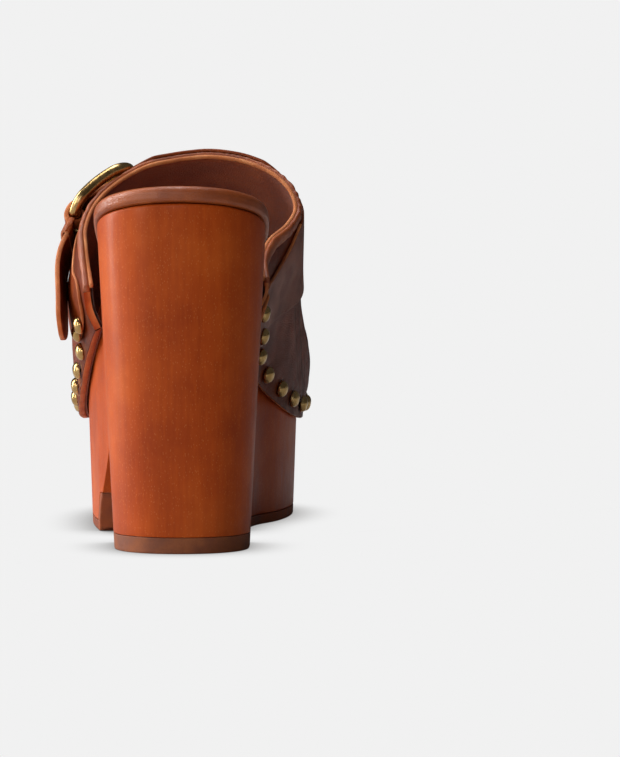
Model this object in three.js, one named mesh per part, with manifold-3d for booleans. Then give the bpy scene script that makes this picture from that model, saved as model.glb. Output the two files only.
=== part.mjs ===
// A high platform clog for the left foot: a wooden sole with a block heel, a leather upper nailed round its
// edge, and a buckled strap over the instep. Lengths are in millimetres. y runs from the heel's back edge to
// the toe, x to the inner side of the foot, z up from the floor. The part's origin is under the heel.
import * as THREE from "three";
import { mergeVertices } from "three/addons/utils/BufferGeometryUtils.js";
import Module from "manifold-3d";

const wasm = await Module();
wasm.setup();

// Fits
const gap = 0.3; // clearance between neighbouring pieces
const holeGap = 0.3; // clearance round a nail's shank

// The sizes at which the outlines and stations below are drawn. They follow the sizes under Sole.
const drawn = { length: 243, ball: 87, seat: 133.5, tread: 57 };

// Sole
const soleLength = 243;
const heelWidth = 65.2; // at the seat
const heelTipWidth = 52.4; // at the floor
const ballWidth = 87;
const seatHeight = 133.5; // top of the wood at the heel's back
const treadHeight = 57; // top of the wood under the ball of the foot
const heelTipLength = 50;
const heelLean = 4; // how far the heel's back edge moves forward down to the floor
const outsoleThick = 4;
const outsoleLip = 12; // how far the outsole curls up the arch face
const topPieceThick = 6;
const archTop = 50;
const archBack = 60;
const platformBack = 100; // where the outsole's flat tread starts
const toeSpring = 5;
const toeLean = 3;
const slabHalf = 80; // half the width of what cuts the sole in the side view
const soleSteps = 22;

// Insole
const insoleThick = 6.6;
const insoleOverhang = 1; // past the wood round the heel
const coverThick = 1.4;

// Upper
const skirt = 15; // how far the leather reaches below the top of the wood
const liningThick = 1;
const stiffenerThick = 0.6;
const vampThick = 1.7;
const bindingThick = 2.6;
const bindingDepth = 4.4;
const bindingRise = 0.6; // past the lining's edge
const strapThick = 2;

// Buckle
const frameLength = 31; // along the strap
const frameWidth = 35; // across the strap
const frameBar = 5; // width of the frame's own metal
const frameThick = 3.8;
const barRadius = 1.5;
const prongRadius = 1.3;
const strapEndWidth = 22;
const chapeThick = 1.4;
const tailThick = 1.8;
const straightFrom = 39; // the strap's end hangs straight from here, measured from the buckle's middle
const tailSlack = 1.1; // between the hanging end and the strap behind it
const tailLength = 37; // past the keeper
const keeperWidth = 6;
const keeperThick = 1.2;
const buckleCurve = 44; // radius of the instep under the buckle
const buckleTwist = 0.0035; // how the instep's slope turns across the strap
const frameLift = 0.8; // between the frame and the strap under it, past the usual gap
const studSink = 1.5; // length of a nail's point
const studSeat = 0.5; // between a nail's head and the curved leather under it

// Nails
const studCount = 24;
const studRadius = 3.6;
const studDome = 2.6;
const shankRadius = 0.8;
const shankLength = 14;
const studInset = 5.8; // from the leather's lower edge

const colours = {
  wood: [0x9c4418, 0.45, 0],
  rubber: [0x8a5434, 0.8, 0],
  leather: [0x8b4218, 0.5, 0],
  lining: [0x7a3c1c, 0.7, 0],
  foam: [0xcbb89a, 0.9, 0],
  board: [0xb09060, 0.9, 0],
  gold: [0xd8a848, 0.25, 1],
};

// ---- shape helpers ----

function meshGeometry(points, faces) {
  const geometry = new THREE.BufferGeometry();
  const numbers = points.flatMap((p) => [p.x, p.y, p.z]);
  geometry.setAttribute("position", new THREE.Float32BufferAttribute(numbers, 3));
  geometry.setIndex(faces.flat());
  return geometry;
}

// A closed geometry as a solid, its faces turned outward whichever way they were listed.
function toSolid(geometry) {
  const bare = geometry.clone();
  bare.deleteAttribute("normal");
  bare.deleteAttribute("uv");
  const merged = mergeVertices(bare, 1e-4);
  const corners = [];
  for (let i = 0; i < merged.index.count; i += 3) {
    const [a, b, c] = [0, 1, 2].map((k) => merged.index.getX(i + k));
    if (a !== b && b !== c && c !== a) corners.push([a, b, c]);
  }
  const build = (faces) =>
    new wasm.Manifold(
      new wasm.Mesh({
        numProp: 3,
        vertProperties: merged.attributes.position.array,
        triVerts: new Uint32Array(faces.flat()),
      }),
    );
  const solid = build(corners);
  return solid.volume() < 0 ? build(corners.map(([a, b, c]) => [a, c, b])) : solid;
}

function toGeometry(solid) {
  const mesh = solid.getMesh();
  const geometry = new THREE.BufferGeometry();
  geometry.setAttribute("position", new THREE.BufferAttribute(mesh.vertProperties, 3));
  geometry.setIndex(new THREE.BufferAttribute(mesh.triVerts, 1));
  return geometry.toNonIndexed();
}

// A closed solid through a row of closed rings, with a flat fan over each end.
function loft(rings) {
  const n = rings[0].length;
  const points = rings.flat();
  const faces = [];
  for (let i = 0; i + 1 < rings.length; i++)
    for (let j = 0; j < n; j++) {
      const k = (j + 1) % n;
      const [a, b, c, d] = [i * n + j, i * n + k, (i + 1) * n + k, (i + 1) * n + j];
      faces.push([a, b, c], [a, c, d]);
    }
  for (const [ring, start, flip] of [[rings[0], 0, true], [rings.at(-1), (rings.length - 1) * n, false]]) {
    const middle = ring.reduce((sum, p) => sum.add(p), new THREE.Vector3()).divideScalar(n);
    points.push(middle);
    for (let j = 0; j < n; j++) {
      const [a, b] = [start + j, start + ((j + 1) % n)];
      faces.push(flip ? [points.length - 1, b, a] : [points.length - 1, a, b]);
    }
  }
  return meshGeometry(points, faces);
}

// A ring of sections that closes on itself.
function loopOf(rings) {
  const n = rings[0].length;
  const faces = [];
  rings.forEach((_, i) => {
    const next = (i + 1) % rings.length;
    for (let j = 0; j < n; j++) {
      const k = (j + 1) % n;
      const [a, b, c, d] = [i * n + j, i * n + k, next * n + k, next * n + j];
      faces.push([a, b, c], [a, c, d]);
    }
  });
  return meshGeometry(rings.flat(), faces);
}

// A sheet with thickness: two matching grids of points and a wall round their rim.
function shell(outer, inner) {
  const rows = outer.length;
  const cols = outer[0].length;
  const at = (i, j) => i * cols + j;
  const under = rows * cols;
  const faces = [];
  const quad = (a, b, c, d) => faces.push([a, b, c], [a, c, d]);
  for (let i = 0; i + 1 < rows; i++)
    for (let j = 0; j + 1 < cols; j++) {
      quad(at(i, j), at(i, j + 1), at(i + 1, j + 1), at(i + 1, j));
      quad(under + at(i, j), under + at(i + 1, j), under + at(i + 1, j + 1), under + at(i, j + 1));
    }
  const rim = [];
  for (let j = 0; j + 1 < cols; j++) rim.push(at(0, j));
  for (let i = 0; i + 1 < rows; i++) rim.push(at(i, cols - 1));
  for (let j = cols - 1; j > 0; j--) rim.push(at(rows - 1, j));
  for (let i = rows - 1; i > 0; i--) rim.push(at(i, 0));
  rim.forEach((a, n) => {
    const b = rim[(n + 1) % rim.length];
    quad(a, under + a, under + b, b);
  });
  return meshGeometry([...outer.flat(), ...inner.flat()], faces);
}

// A flat outline in the side view, extruded right across the foot from x = from to x = to.
function sideSlab(outline, from, to) {
  const shape = new THREE.Shape(outline.map(([y, z]) => new THREE.Vector2(y, z)));
  const geometry = new THREE.ExtrudeGeometry(shape, { depth: to - from, bevelEnabled: false });
  geometry.applyMatrix4(new THREE.Matrix4().set(0, 0, 1, from, 1, 0, 0, 0, 0, 1, 0, 0, 0, 0, 0, 1));
  return geometry;
}

// A smooth function through [position, value] pairs.
function through(pairs) {
  const slope = pairs.map((_, i) => {
    const a = pairs[Math.max(i - 1, 0)];
    const b = pairs[Math.min(i + 1, pairs.length - 1)];
    return (b[1] - a[1]) / (b[0] - a[0]);
  });
  return (t) => {
    const clamped = THREE.MathUtils.clamp(t, pairs[0][0], pairs.at(-1)[0]);
    let i = 0;
    while (i < pairs.length - 2 && clamped > pairs[i + 1][0]) i++;
    const span = pairs[i + 1][0] - pairs[i][0];
    const u = (clamped - pairs[i][0]) / span;
    const [u2, u3] = [u * u, u * u * u];
    return (
      (2 * u3 - 3 * u2 + 1) * pairs[i][1] +
      (u3 - 2 * u2 + u) * span * slope[i] +
      (3 * u2 - 2 * u3) * pairs[i + 1][1] +
      (u3 - u2) * span * slope[i + 1]
    );
  };
}

// ---- the last: outline, heights and the surface of the upper ----

const lengthwise = soleLength / drawn.length;
const ballHalf = ballWidth / 2;
const heelHalf = heelWidth / 2;
const toeX = 4.5;
const plan = new THREE.CatmullRomCurve3(
  [
    [0, 0], [-0.62 * heelHalf, 1.6], [-0.9 * heelHalf, 9], [-heelHalf, 25], [-0.995 * heelHalf, 55],
    [-34.4, 80], [-37.3, 100], [-0.93 * ballHalf, 120], [-0.98 * ballHalf, 140], [-ballHalf, 163],
    [-0.955 * ballHalf, 190], [-0.83 * ballHalf, 212], [-0.55 * ballHalf, 232], [-0.2 * ballHalf, 241],
    [toeX, 243], [0.42 * ballHalf, 240.5], [0.72 * ballHalf, 232], [0.93 * ballHalf, 215], [1.015 * ballHalf, 193],
    [0.985 * ballHalf, 170], [0.86 * ballHalf, 147], [29, 128], [25, 108], [25.8, 86], [29.4, 64],
    [0.985 * heelHalf, 42], [heelHalf, 24], [0.9 * heelHalf, 9], [0.62 * heelHalf, 1.6],
  ].map(([x, y]) => new THREE.Vector3(x, y * lengthwise, 0)),
  true,
  "centripetal",
);

function outlineAt(count, offset) {
  const flat = plan.getPoints(count * 4);
  flat.pop();
  return Array.from({ length: count }, (_, i) => {
    const p = flat[i * 4];
    const ahead = flat[(i * 4 + 2) % flat.length];
    const behind = flat[(i * 4 - 2 + flat.length) % flat.length];
    const outward = new THREE.Vector3(behind.y - ahead.y, ahead.x - behind.x, 0).normalize();
    return p.clone().addScaledVector(outward, offset(p));
  });
}

const halves = plan.getPoints(600);

// x of the wood's edge at y, on the side -1 outer or 1 inner.
function sideX(side, y) {
  const crossings = [toeX];
  for (let i = 0; i + 1 < halves.length; i++) {
    const [p, q] = [halves[i], halves[i + 1]];
    if ((p.y - y) * (q.y - y) <= 0 && p.y !== q.y) crossings.push(p.x + ((q.x - p.x) * (y - p.y)) / (q.y - p.y));
  }
  return side < 0 ? Math.min(...crossings) : Math.max(...crossings);
}

const rise = seatHeight - treadHeight;
const footbedShape = through([
  [0, 1], [28, 0.885], [60, 0.69], [90, 0.45], [120, 0.22], [148, 0.068], [172, 0.005], [200, 0.005],
  [225, 0.04], [243, 0.085],
]);
const footbed = (y) => treadHeight + rise * footbedShape(y / lengthwise);
const drawnFootbed = (y) => drawn.tread + (drawn.seat - drawn.tread) * footbedShape(y);

// The wood narrows towards the floor: strongly at the heel, a little at the platform.
function taper(y, z) {
  const heelPart = THREE.MathUtils.smoothstep(y, 70 * lengthwise, 100 * lengthwise);
  const heelShare = 1 - (1 - heelTipWidth / heelWidth) * THREE.MathUtils.clamp(1 - z / (seatHeight - 8), 0, 1);
  const platformShare = 1 - 0.045 * THREE.MathUtils.clamp(1 - z / treadHeight, 0, 1);
  return THREE.MathUtils.lerp(heelShare, platformShare, heelPart);
}

// The block that every piece of the sole is cut from: the outline, grown by offset, from one height to another.
function block(offset, from, to, levels) {
  const outline = outlineAt(64, offset);
  const rings = Array.from({ length: levels }, (_, k) => {
    const z = THREE.MathUtils.lerp(from, to, k / (levels - 1));
    const drop = THREE.MathUtils.clamp(1 - z / seatHeight, 0, 1);
    return outline
      .map((p) => {
        const forward = heelLean * drop * Math.max(0, 1 - p.y / archBack);
        const back = toeLean * drop * THREE.MathUtils.smoothstep(p.y, 0.75 * soleLength, soleLength);
        return new THREE.Vector3(p.x * taper(p.y, z), p.y + forward - back, z);
      })
      .reverse();
  });
  return toSolid(loft(rings));
}

// Places along the sole, from just behind it to just past the toe.
const overSole = Array.from({ length: soleSteps + 1 }, (_, i) => (soleLength * 1.05 * i) / soleSteps - 5);
const tread = (y) => toeSpring * THREE.MathUtils.clamp((y - 0.78 * soleLength) / (0.22 * soleLength), 0, 1.2) ** 2;

// ---- sole pieces ----

const heelFront = heelLean + heelTipLength;
const lipTop = outsoleThick + outsoleLip;
const lipFace = (z) => platformBack - 3 * (z / lipTop) - 5 * (z / lipTop) ** 2;

// The seam between wood and outsole in the side view, from the lip's top down and forward to past the toe.
function outsoleSeam(apart) {
  const lip = [lipTop, 0.75 * lipTop, 0.5 * lipTop].map((z) => [lipFace(z) + outsoleThick + apart, z + apart]);
  const corner = [platformBack + outsoleThick + 3 + apart, outsoleThick + apart];
  const flat = overSole.filter((y) => y > platformBack + 12).map((y) => [y, tread(y) + outsoleThick + apart]);
  return [...lip, corner, ...flat];
}

function woodenSole() {
  const top = overSole.map((y) => [y, footbed(y)]);
  const arch = [
    [heelFront, topPieceThick + gap], [heelFront + 1, 0.5 * archTop], [heelFront + 3, 0.82 * archTop],
    [archBack + 0.5, 0.96 * archTop], [archBack + 5, archTop], [archBack + 10, 0.96 * archTop],
    [archBack + 17, 0.8 * archTop], [archBack + 25, 0.55 * archTop], [lipFace(lipTop), lipTop + gap],
  ];
  const profile = [[-5, topPieceThick + gap], ...arch, ...outsoleSeam(gap), ...top.reverse()];
  return block(() => 0, 0, seatHeight + 10, 7).intersect(toSolid(sideSlab(profile, -slabHalf, slabHalf)));
}

function platformOutsole() {
  const ys = overSole.filter((y) => y > platformBack + 12);
  const lower = ys.map((y) => [y, tread(y)]);
  const back = [1, 0.6, 0.3, 0.1].map((share) => [lipFace(share * lipTop), share * lipTop]);
  const profile = [...outsoleSeam(0).reverse(), ...back, [platformBack + 3, 0], ...lower];
  return block(() => 0, -1, 40, 3).intersect(toSolid(sideSlab(profile, -slabHalf, slabHalf)));
}

function heelTopPiece() {
  const profile = [[-5, 0], [heelFront - 0.5, 0], [heelFront, topPieceThick], [-5, topPieceThick]];
  return block(() => 0, -1, 20, 3).intersect(toSolid(sideSlab(profile, -slabHalf, slabHalf)));
}

// The insole stands past the wood round the heel and steps in where the upper starts.
function insoleEdge(p) {
  const start = p.x > 0 ? 42 : 58;
  return THREE.MathUtils.lerp(insoleOverhang, -2.4, THREE.MathUtils.smoothstep(p.y, start, start + 13));
}

function insoleLayer(inset, low, high) {
  const under = overSole.map((y) => [y, footbed(y) + low]);
  const over = overSole.map((y) => [y, footbed(y) + high]);
  const profile = [...under, ...over.reverse()];
  const outline = block((p) => insoleEdge(p) - inset, treadHeight - 10, seatHeight + 12, 3);
  return outline.intersect(toSolid(sideSlab(profile, -slabHalf, slabHalf)));
}

// ---- upper ----

// Each station: the wood's edge as [side, y], then points on the bulge, the shoulder and the opening's edge as
// [x, y, height over the footbed at that y], from the outer back corner round the toe to the inner back corner.
const stations = [
  { edge: [-1, 78], over: [[-35.8, 77.5, -8], [-36.6, 77, -3.5], [-37, 76, 0]] },
  { edge: [-1, 94], over: [[-40.5, 90, 6.5], [-41.2, 88, 15.5], [-39.6, 88, 22.5]] },
  { edge: [-1, 115], over: [[-43, 110, 12.5], [-43.2, 103, 26.5], [-40.3, 97, 36.5]] },
  { edge: [-1, 138], over: [[-45, 134, 14.5], [-44, 122, 35], [-36.5, 105, 51]] },
  { edge: [-1, 163], over: [[-46.2, 161, 13], [-41.5, 148, 41], [-28, 112, 63.5]] },
  { edge: [-1, 190], over: [[-44.8, 190, 9], [-35, 175, 38], [-16, 116.5, 72.5]] },
  { edge: [-1, 215], over: [[-37, 216, 4.5], [-26, 200, 29.5], [-6, 119, 76]] },
  { edge: [-1, 234], over: [[-21, 236, 1], [-12.5, 218, 23], [1, 120, 77.5]] },
  { edge: [0, 243], over: [[4.5, 245.8, -0.5], [6, 226, 20], [8, 120, 78]] },
  { edge: [1, 235], over: [[27, 237, 0.5], [21, 220, 22.5], [16, 119.3, 77]] },
  { edge: [1, 217], over: [[41.5, 218, 5], [31.5, 203, 29.5], [24, 117.8, 74.5]] },
  { edge: [1, 193], over: [[46.6, 192, 9.5], [38, 178, 37], [34, 114, 68]] },
  { edge: [1, 168], over: [[45.8, 166, 14], [41.5, 151, 40.5], [40.8, 109.5, 59]] },
  { edge: [1, 142], over: [[41.5, 140, 18], [43, 127, 38.5], [43.2, 105.5, 49.5]] },
  { edge: [1, 116], over: [[35.5, 115, 16.5], [40, 109, 32], [40.2, 98.5, 39]] },
  { edge: [1, 90], over: [[31, 90, 6.5], [33.5, 88, 17.5], [33, 86, 25]] },
  { edge: [1, 74], over: [[29.3, 74, -2.5], [30, 73, 3], [29.8, 72, 8.5]] },
  { edge: [1, 62], over: [[30.6, 61.5, -11], [30.8, 61, -8], [30.8, 60.5, -5.5]] },
];

function edgePoint([side, yAt]) {
  const y = yAt * lengthwise;
  const z = footbed(y) - skirt;
  if (side === 0) return new THREE.Vector3(toeX, soleLength + 3 * gap - toeLean * (1 - z / seatHeight), z);
  const x = sideX(side, y);
  const along = new THREE.Vector2(sideX(side, y + 1) - sideX(side, y - 1), 2).normalize();
  const out = new THREE.Vector2(side * along.y, -side * along.x).multiplyScalar(1.5 * gap);
  return new THREE.Vector3(x * taper(y, z) + out.x, y + out.y, z);
}

const across = ballWidth / drawn.ball;
const rows = [
  stations.map(({ edge }) => edgePoint(edge)),
  ...[0, 1, 2].map((k) =>
    stations.map(({ over }) => {
      const [x, y, above] = over[k];
      return new THREE.Vector3(x * across, y * lengthwise, footbed(y * lengthwise) + above);
    }),
  ),
].map((points) => new THREE.CatmullRomCurve3(points));

const column = (tau) => new THREE.CatmullRomCurve3(rows.map((row) => row.getPoint(tau)));
const fromEdge = (tau, distance) => distance / (3 * rows[0].getPoint(tau).distanceTo(rows[1].getPoint(tau)));
const fromThroat = (tau, distance) => 1 - distance / (3 * rows[2].getPoint(tau).distanceTo(rows[3].getPoint(tau)));

// A point of the upper, tau round the foot, s from the lower edge to the opening, lifted off the inner face.
function upperFrame(tau, s) {
  const step = 0.004;
  const here = column(tau);
  const along = column(Math.min(tau + step, 1)).getPoint(s).sub(column(Math.max(tau - step, 0)).getPoint(s));
  const up = here.getPoint(Math.min(s + step, 1)).sub(here.getPoint(Math.max(s - step, 0)));
  return { point: here.getPoint(s), normal: up.clone().cross(along).normalize(), up: up.normalize() };
}

function upperPoint(tau, s, lift) {
  const { point, normal } = upperFrame(tau, s);
  return point.addScaledVector(normal, lift);
}

const range = (from, to, count) => Array.from({ length: count + 1 }, (_, i) => from + ((to - from) * i) / count);

function upperShell(taus, sAt, low, high) {
  const grid = (lift) => taus.map((tau) => sAt(tau).map((s) => upperPoint(tau, s, lift)));
  return toSolid(shell(grid(high), grid(low)));
}

const stiffenerLow = liningThick + gap;
const vampLow = stiffenerLow + stiffenerThick + gap;
const vampHigh = vampLow + vampThick;
const strapLow = vampHigh + gap;
const strapHigh = strapLow + strapThick;

// Every layer of the upper is cut from the same grid, so that their flat facets lie parallel.
const sheetTaus = range(0, 1, 32);
const sheetRows = (tau) => range(0, fromThroat(tau, bindingDepth - bindingRise + 2 * gap), 10);

function topline() {
  const rings = range(0, 1, 52).map((tau) => {
    const { point, normal, up } = upperFrame(tau, 1);
    const middle = point
      .addScaledVector(normal, liningThick + gap + bindingThick / 2)
      .addScaledVector(up, bindingRise - bindingDepth / 2);
    return range(0, 7, 7).map((k) => {
      const turn = (k * Math.PI) / 4 + Math.PI / 8;
      return middle
        .clone()
        .addScaledVector(normal, (bindingThick / 2) * Math.cos(turn))
        .addScaledVector(up, (bindingDepth / 2) * Math.sin(turn));
    });
  });
  return toSolid(loft(rings));
}

// The instep strap in the side view, on the inner side and over the top, and on the outer side to the buckle.
const strapInner = [
  [58, 92], [75, 98], [88, 104], [98, 113], [108, 127], [117, 140], [125, 175], [156, 175],
  [151.5, 141], [150.5, 132], [147, 115], [140, 98], [122, 89], [105, 84.5], [85, 76], [58, 80],
];
const strapOuter = [
  [125, 175], [120, 150], [115, 141], [112.8, 134.4], [132, 123.6], [138.5, 129], [144.5, 134], [149.5, 138],
  [151.5, 141], [156, 175],
];
const chapeOuter = [
  [113, 131.2], [109.5, 126.5], [105, 120], [99, 111], [92, 105], [83, 101.5], [80, 94], [84, 86], [94, 79],
  [106, 77], [116, 81], [121, 90], [123, 98], [125, 108], [127, 116], [129.6, 121.8],
];
const sideFit = (outline) =>
  outline.map(([y, z]) => [y * lengthwise, z + footbed(y * lengthwise) - drawnFootbed(y)]);

// ---- buckle, in its own frame: a down along the strap, c across it to the back, o off the upper's inner face ----

const buckleTau = 0.235;
const buckleS = 0.9;
const seat = upperFrame(buckleTau, buckleS);
const towardsBack = new THREE.Vector3(0, -0.86, 0.51).projectOnPlane(seat.normal).normalize();
const downStrap = towardsBack.clone().cross(seat.normal).normalize();

function onBuckle(a, c, o) {
  const bent = Math.min(a, straightFrom);
  const turn = bent / buckleCurve;
  const radial = seat.normal.clone().multiplyScalar(Math.cos(turn)).addScaledVector(downStrap, Math.sin(turn));
  const tangent = downStrap.clone().multiplyScalar(Math.cos(turn)).addScaledVector(seat.normal, -Math.sin(turn));
  return seat.point
    .clone()
    .addScaledVector(seat.normal, -buckleCurve)
    .addScaledVector(radial, buckleCurve + o + buckleTwist * bent * c)
    .addScaledVector(tangent, a - bent)
    .addScaledVector(towardsBack, c);
}

const frameLow = strapHigh + gap + frameLift;
const frameMiddle = frameLow + frameThick / 2;
const barA = frameLength / 2 - frameBar / 2; // the hinge bar's place along the strap
const barO = strapLow + chapeThick + 2 * gap + barRadius;

function buckleFrame() {
  const [halfA, halfC] = [frameLength / 2 - frameBar / 2, frameWidth / 2 - frameBar / 2];
  const corner = 5;
  const path = [];
  for (const [sideA, sideC, from] of [[1, 1, 0], [-1, 1, 90], [-1, -1, 180], [1, -1, 270]])
    for (const k of [0, 1, 2, 3]) {
      const turn = THREE.MathUtils.degToRad(from + k * 30);
      const [roundA, roundC] = [corner * Math.cos(turn), corner * Math.sin(turn)];
      path.push([sideA * (halfA - corner) + roundA, sideC * (halfC - corner) + roundC]);
    }
  const rings = path.map(([a, c], i) => {
    const [before, after] = [path.at(i - 1), path[(i + 1) % path.length]];
    const [ta, tc] = [after[0] - before[0], after[1] - before[1]];
    const length = Math.hypot(ta, tc);
    const bar = Math.abs(c) < halfC - corner + 0.1 && a > 0 ? 1 : 0;
    const [wide, thick] = bar ? [barRadius, barRadius] : [frameBar / 2, frameThick / 2];
    const middle = bar ? barO : frameMiddle;
    return range(0, 7, 7).map((k) => {
      const turn = (k * Math.PI) / 4 + Math.PI / 8;
      const [across, off] = [wide * Math.cos(turn), thick * Math.sin(turn)];
      return onBuckle(a + (across * tc) / length, c - (across * ta) / length, middle + off);
    });
  });
  return toSolid(loopOf(rings));
}

// A ribbon across the strap: its middle line as [a, o], its thickness, and its width between two values of c.
function ribbon(line, thickness, from, to) {
  const curve = new THREE.CatmullRomCurve3(line.map(([a, o]) => new THREE.Vector3(a, o, 0)));
  const steps = line.length * 2;
  const rings = range(0, 1, steps).map((t) => {
    const { x: a, y: o } = curve.getPoint(t);
    const along = curve.getTangent(t);
    const [na, no] = [(-along.y * thickness) / 2, (along.x * thickness) / 2];
    return [[a + na, o + no, from], [a - na, o - no, from], [a - na, o - no, to], [a + na, o + no, to]].map(
      ([pa, po, pc]) => onBuckle(pa, pc, po),
    );
  });
  return toSolid(loft(rings));
}

// A round eye about the hinge bar, between two values of c.
function eye(inner, outer, from, to) {
  const rings = range(0, 11, 11).map((k) => {
    const turn = (k * Math.PI) / 6;
    const at = (r, c) => onBuckle(barA + r * Math.cos(turn), c, barO + r * Math.sin(turn));
    return [at(outer, from), at(inner, from), at(inner, to), at(outer, to)];
  });
  return toSolid(loopOf(rings));
}

const eyeInner = barRadius + gap;
const eyeOuter = eyeInner + keeperThick;
const overStrap = frameLow + frameThick + gap + prongRadius;

function buckleProng() {
  const line = [
    [barA - eyeInner - 0.6, barO], [8, barO + 0.2], [4, barO + 1.4], [-2, overStrap - 0.9], [-9, overStrap],
    [-16, overStrap + 0.3],
  ];
  const curve = new THREE.CatmullRomCurve3(line.map(([a, o]) => new THREE.Vector3(a, o, 0)));
  const rings = range(0, 1, 10).map((t) => {
    const { x: a, y: o } = curve.getPoint(t);
    const along = curve.getTangent(t);
    const radius = prongRadius * (t > 0.95 ? 0.55 : 1);
    return range(0, 7, 7).map((k) => {
      const turn = (-k * Math.PI) / 4;
      const off = radius * Math.cos(turn);
      return onBuckle(a - along.y * off, radius * Math.sin(turn), o + along.x * off);
    });
  });
  return toSolid(loft(rings)).add(eye(eyeInner, eyeOuter, -1.8, 1.8));
}

// What clears the prong through the strap behind it: half its width, and where it starts and ends along the strap.
function slotThrough(half, from, to) {
  const corners = [[strapLow - 1, -half], [strapLow - 1, half], [barO, half], [barO, -half]];
  return toSolid(loft([from, to].map((a) => corners.map(([o, c]) => onBuckle(a, c, o)))));
}

const keeperA = barA + barRadius + 4;
const tailUnder = strapLow + chapeThick + tailSlack; // the tail's inner face inside the keeper
const tailMiddle = tailUnder + tailThick / 2;
const overBar = barO + eyeOuter + gap + tailThick / 2;
const halfEnd = strapEndWidth / 2;

function strapEnd() {
  const line = [
    [barA - 2.4, overBar], [barA, overBar], [barA + 2.6, overBar - 0.7], [keeperA - 0.5, tailMiddle + 0.3],
    [keeperA + 2, tailMiddle], [keeperA + keeperWidth, tailMiddle],
  ];
  return ribbon(line, tailThick, -halfEnd, halfEnd);
}

function strapTail() {
  const start = keeperA + keeperWidth + 2 * gap;
  const line = [
    [start, tailMiddle], [start + 5, tailMiddle + 0.8], [start + 15, tailMiddle + 1.2],
    [start + tailLength, tailMiddle + 1.2],
  ];
  return ribbon(line, tailThick, -halfEnd + 0.5, halfEnd - 0.5);
}

// The keeper arches over the strap's end, its two feet on the strap behind.
function keeperLoop() {
  const foot = strapLow + chapeThick + gap + 1;
  const high = tailUnder + tailThick + gap;
  const half = halfEnd + gap;
  const arch = (top, side, low, from, to) => {
    const corners = [[low, -side], [low, side], [top, side], [top, -side]];
    return toSolid(loft(range(from, to, 3).map((a) => corners.map(([o, c]) => onBuckle(a, c, o)))));
  };
  const outside = arch(high + keeperThick, half + keeperThick, foot, keeperA, keeperA + keeperWidth);
  return outside.subtract(arch(high, half, foot - 2, keeperA - 1, keeperA + keeperWidth + 1));
}

// ---- nails ----

const pastHead = studDome + 1; // how far a nail's hole reaches out past its seat

function studAt(tau, s, lift) {
  const { point, normal } = upperFrame(tau, s);
  const place = new THREE.Object3D();
  place.position.copy(point.addScaledVector(normal, lift + studSeat));
  place.quaternion.setFromUnitVectors(new THREE.Vector3(0, 1, 0), normal);
  place.updateMatrix();
  return place;
}

const edgeRow = rows[0];
const strapStudsFrom = 0.9; // past this share of the edge the nails also hold the strap
const vampStuds = range(0.075, 0.955, studCount - 3).map((u) => {
  const tau = edgeRow.getUtoTmapping(u);
  return studAt(tau, fromEdge(tau, studInset), u > strapStudsFrom ? strapHigh : vampHigh);
});
const chapeStuds = [[0.05, 0.14], [0.068, 0.12]].map(([tau, s]) => studAt(tau, s, strapLow + chapeThick));
const studs = [...chapeStuds, ...vampStuds];

const studProfile = [
  [0, -shankLength], [shankRadius, studSink - shankLength], [shankRadius, 0], [studRadius, 0],
  [0.9 * studRadius, 0.42 * studDome], [0.55 * studRadius, 0.85 * studDome], [0, studDome],
].map(([r, h]) => new THREE.Vector2(r, h));
const studGeometry = new THREE.LatheGeometry(studProfile, 8);
const drillRadius = shankRadius + holeGap;
const drill = new THREE.CylinderGeometry(drillRadius, drillRadius, shankLength + gap + pastHead, 6);
drill.translate(0, (pastHead - shankLength - gap) / 2, 0);
const holes = studs.map((place) => toSolid(drill.clone().applyMatrix4(place.matrix)));
const drilled = (solid) => holes.reduce((left, hole) => left.subtract(hole), solid);

// ---- assembly ----

const clog = new THREE.Group();
const onSole = new THREE.Group();
onSole.position.y = -(heelLean + heelTipLength / 2);
clog.add(onSole);

function add(name, geometry, look) {
  const [color, roughness, metalness] = colours[look];
  const mesh = new THREE.Mesh(geometry, new THREE.MeshStandardMaterial({ color, roughness, metalness }));
  mesh.name = name;
  onSole.add(mesh);
  return mesh;
}

const strapShell = upperShell(sheetTaus, sheetRows, strapLow, strapHigh);
const chapeShell = upperShell(sheetTaus, sheetRows, strapLow, strapLow + chapeThick);
const middleX = 5;
const strapBand = toSolid(sideSlab(sideFit(strapInner), middleX - 1, 90)).add(
  toSolid(sideSlab(sideFit(strapOuter), -90, middleX)),
);
const insoleHollow = insoleLayer(coverThick, -5, insoleThick - coverThick);
const lining = upperShell(sheetTaus, (tau) => [...sheetRows(tau), 1], 0, liningThick);
const toeTaus = sheetTaus.slice(10, 22);
const toeRows = (tau) => sheetRows(tau).slice(3, 8);
const stiffener = upperShell(toeTaus, toeRows, stiffenerLow, stiffenerLow + stiffenerThick);
const lugHalf = halfEnd - 1.7;
const chapeEyes = eye(eyeInner, eyeOuter, -lugHalf, -2.3).add(eye(eyeInner, eyeOuter, 2.3, lugHalf));
const prongSlot = slotThrough(2.3, barA - eyeOuter - gap, barA + eyeOuter + gap);
const chapeBand = toSolid(sideSlab(sideFit(chapeOuter), -90, 0));
const chape = chapeShell.intersect(chapeBand).subtract(prongSlot).add(chapeEyes);

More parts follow.
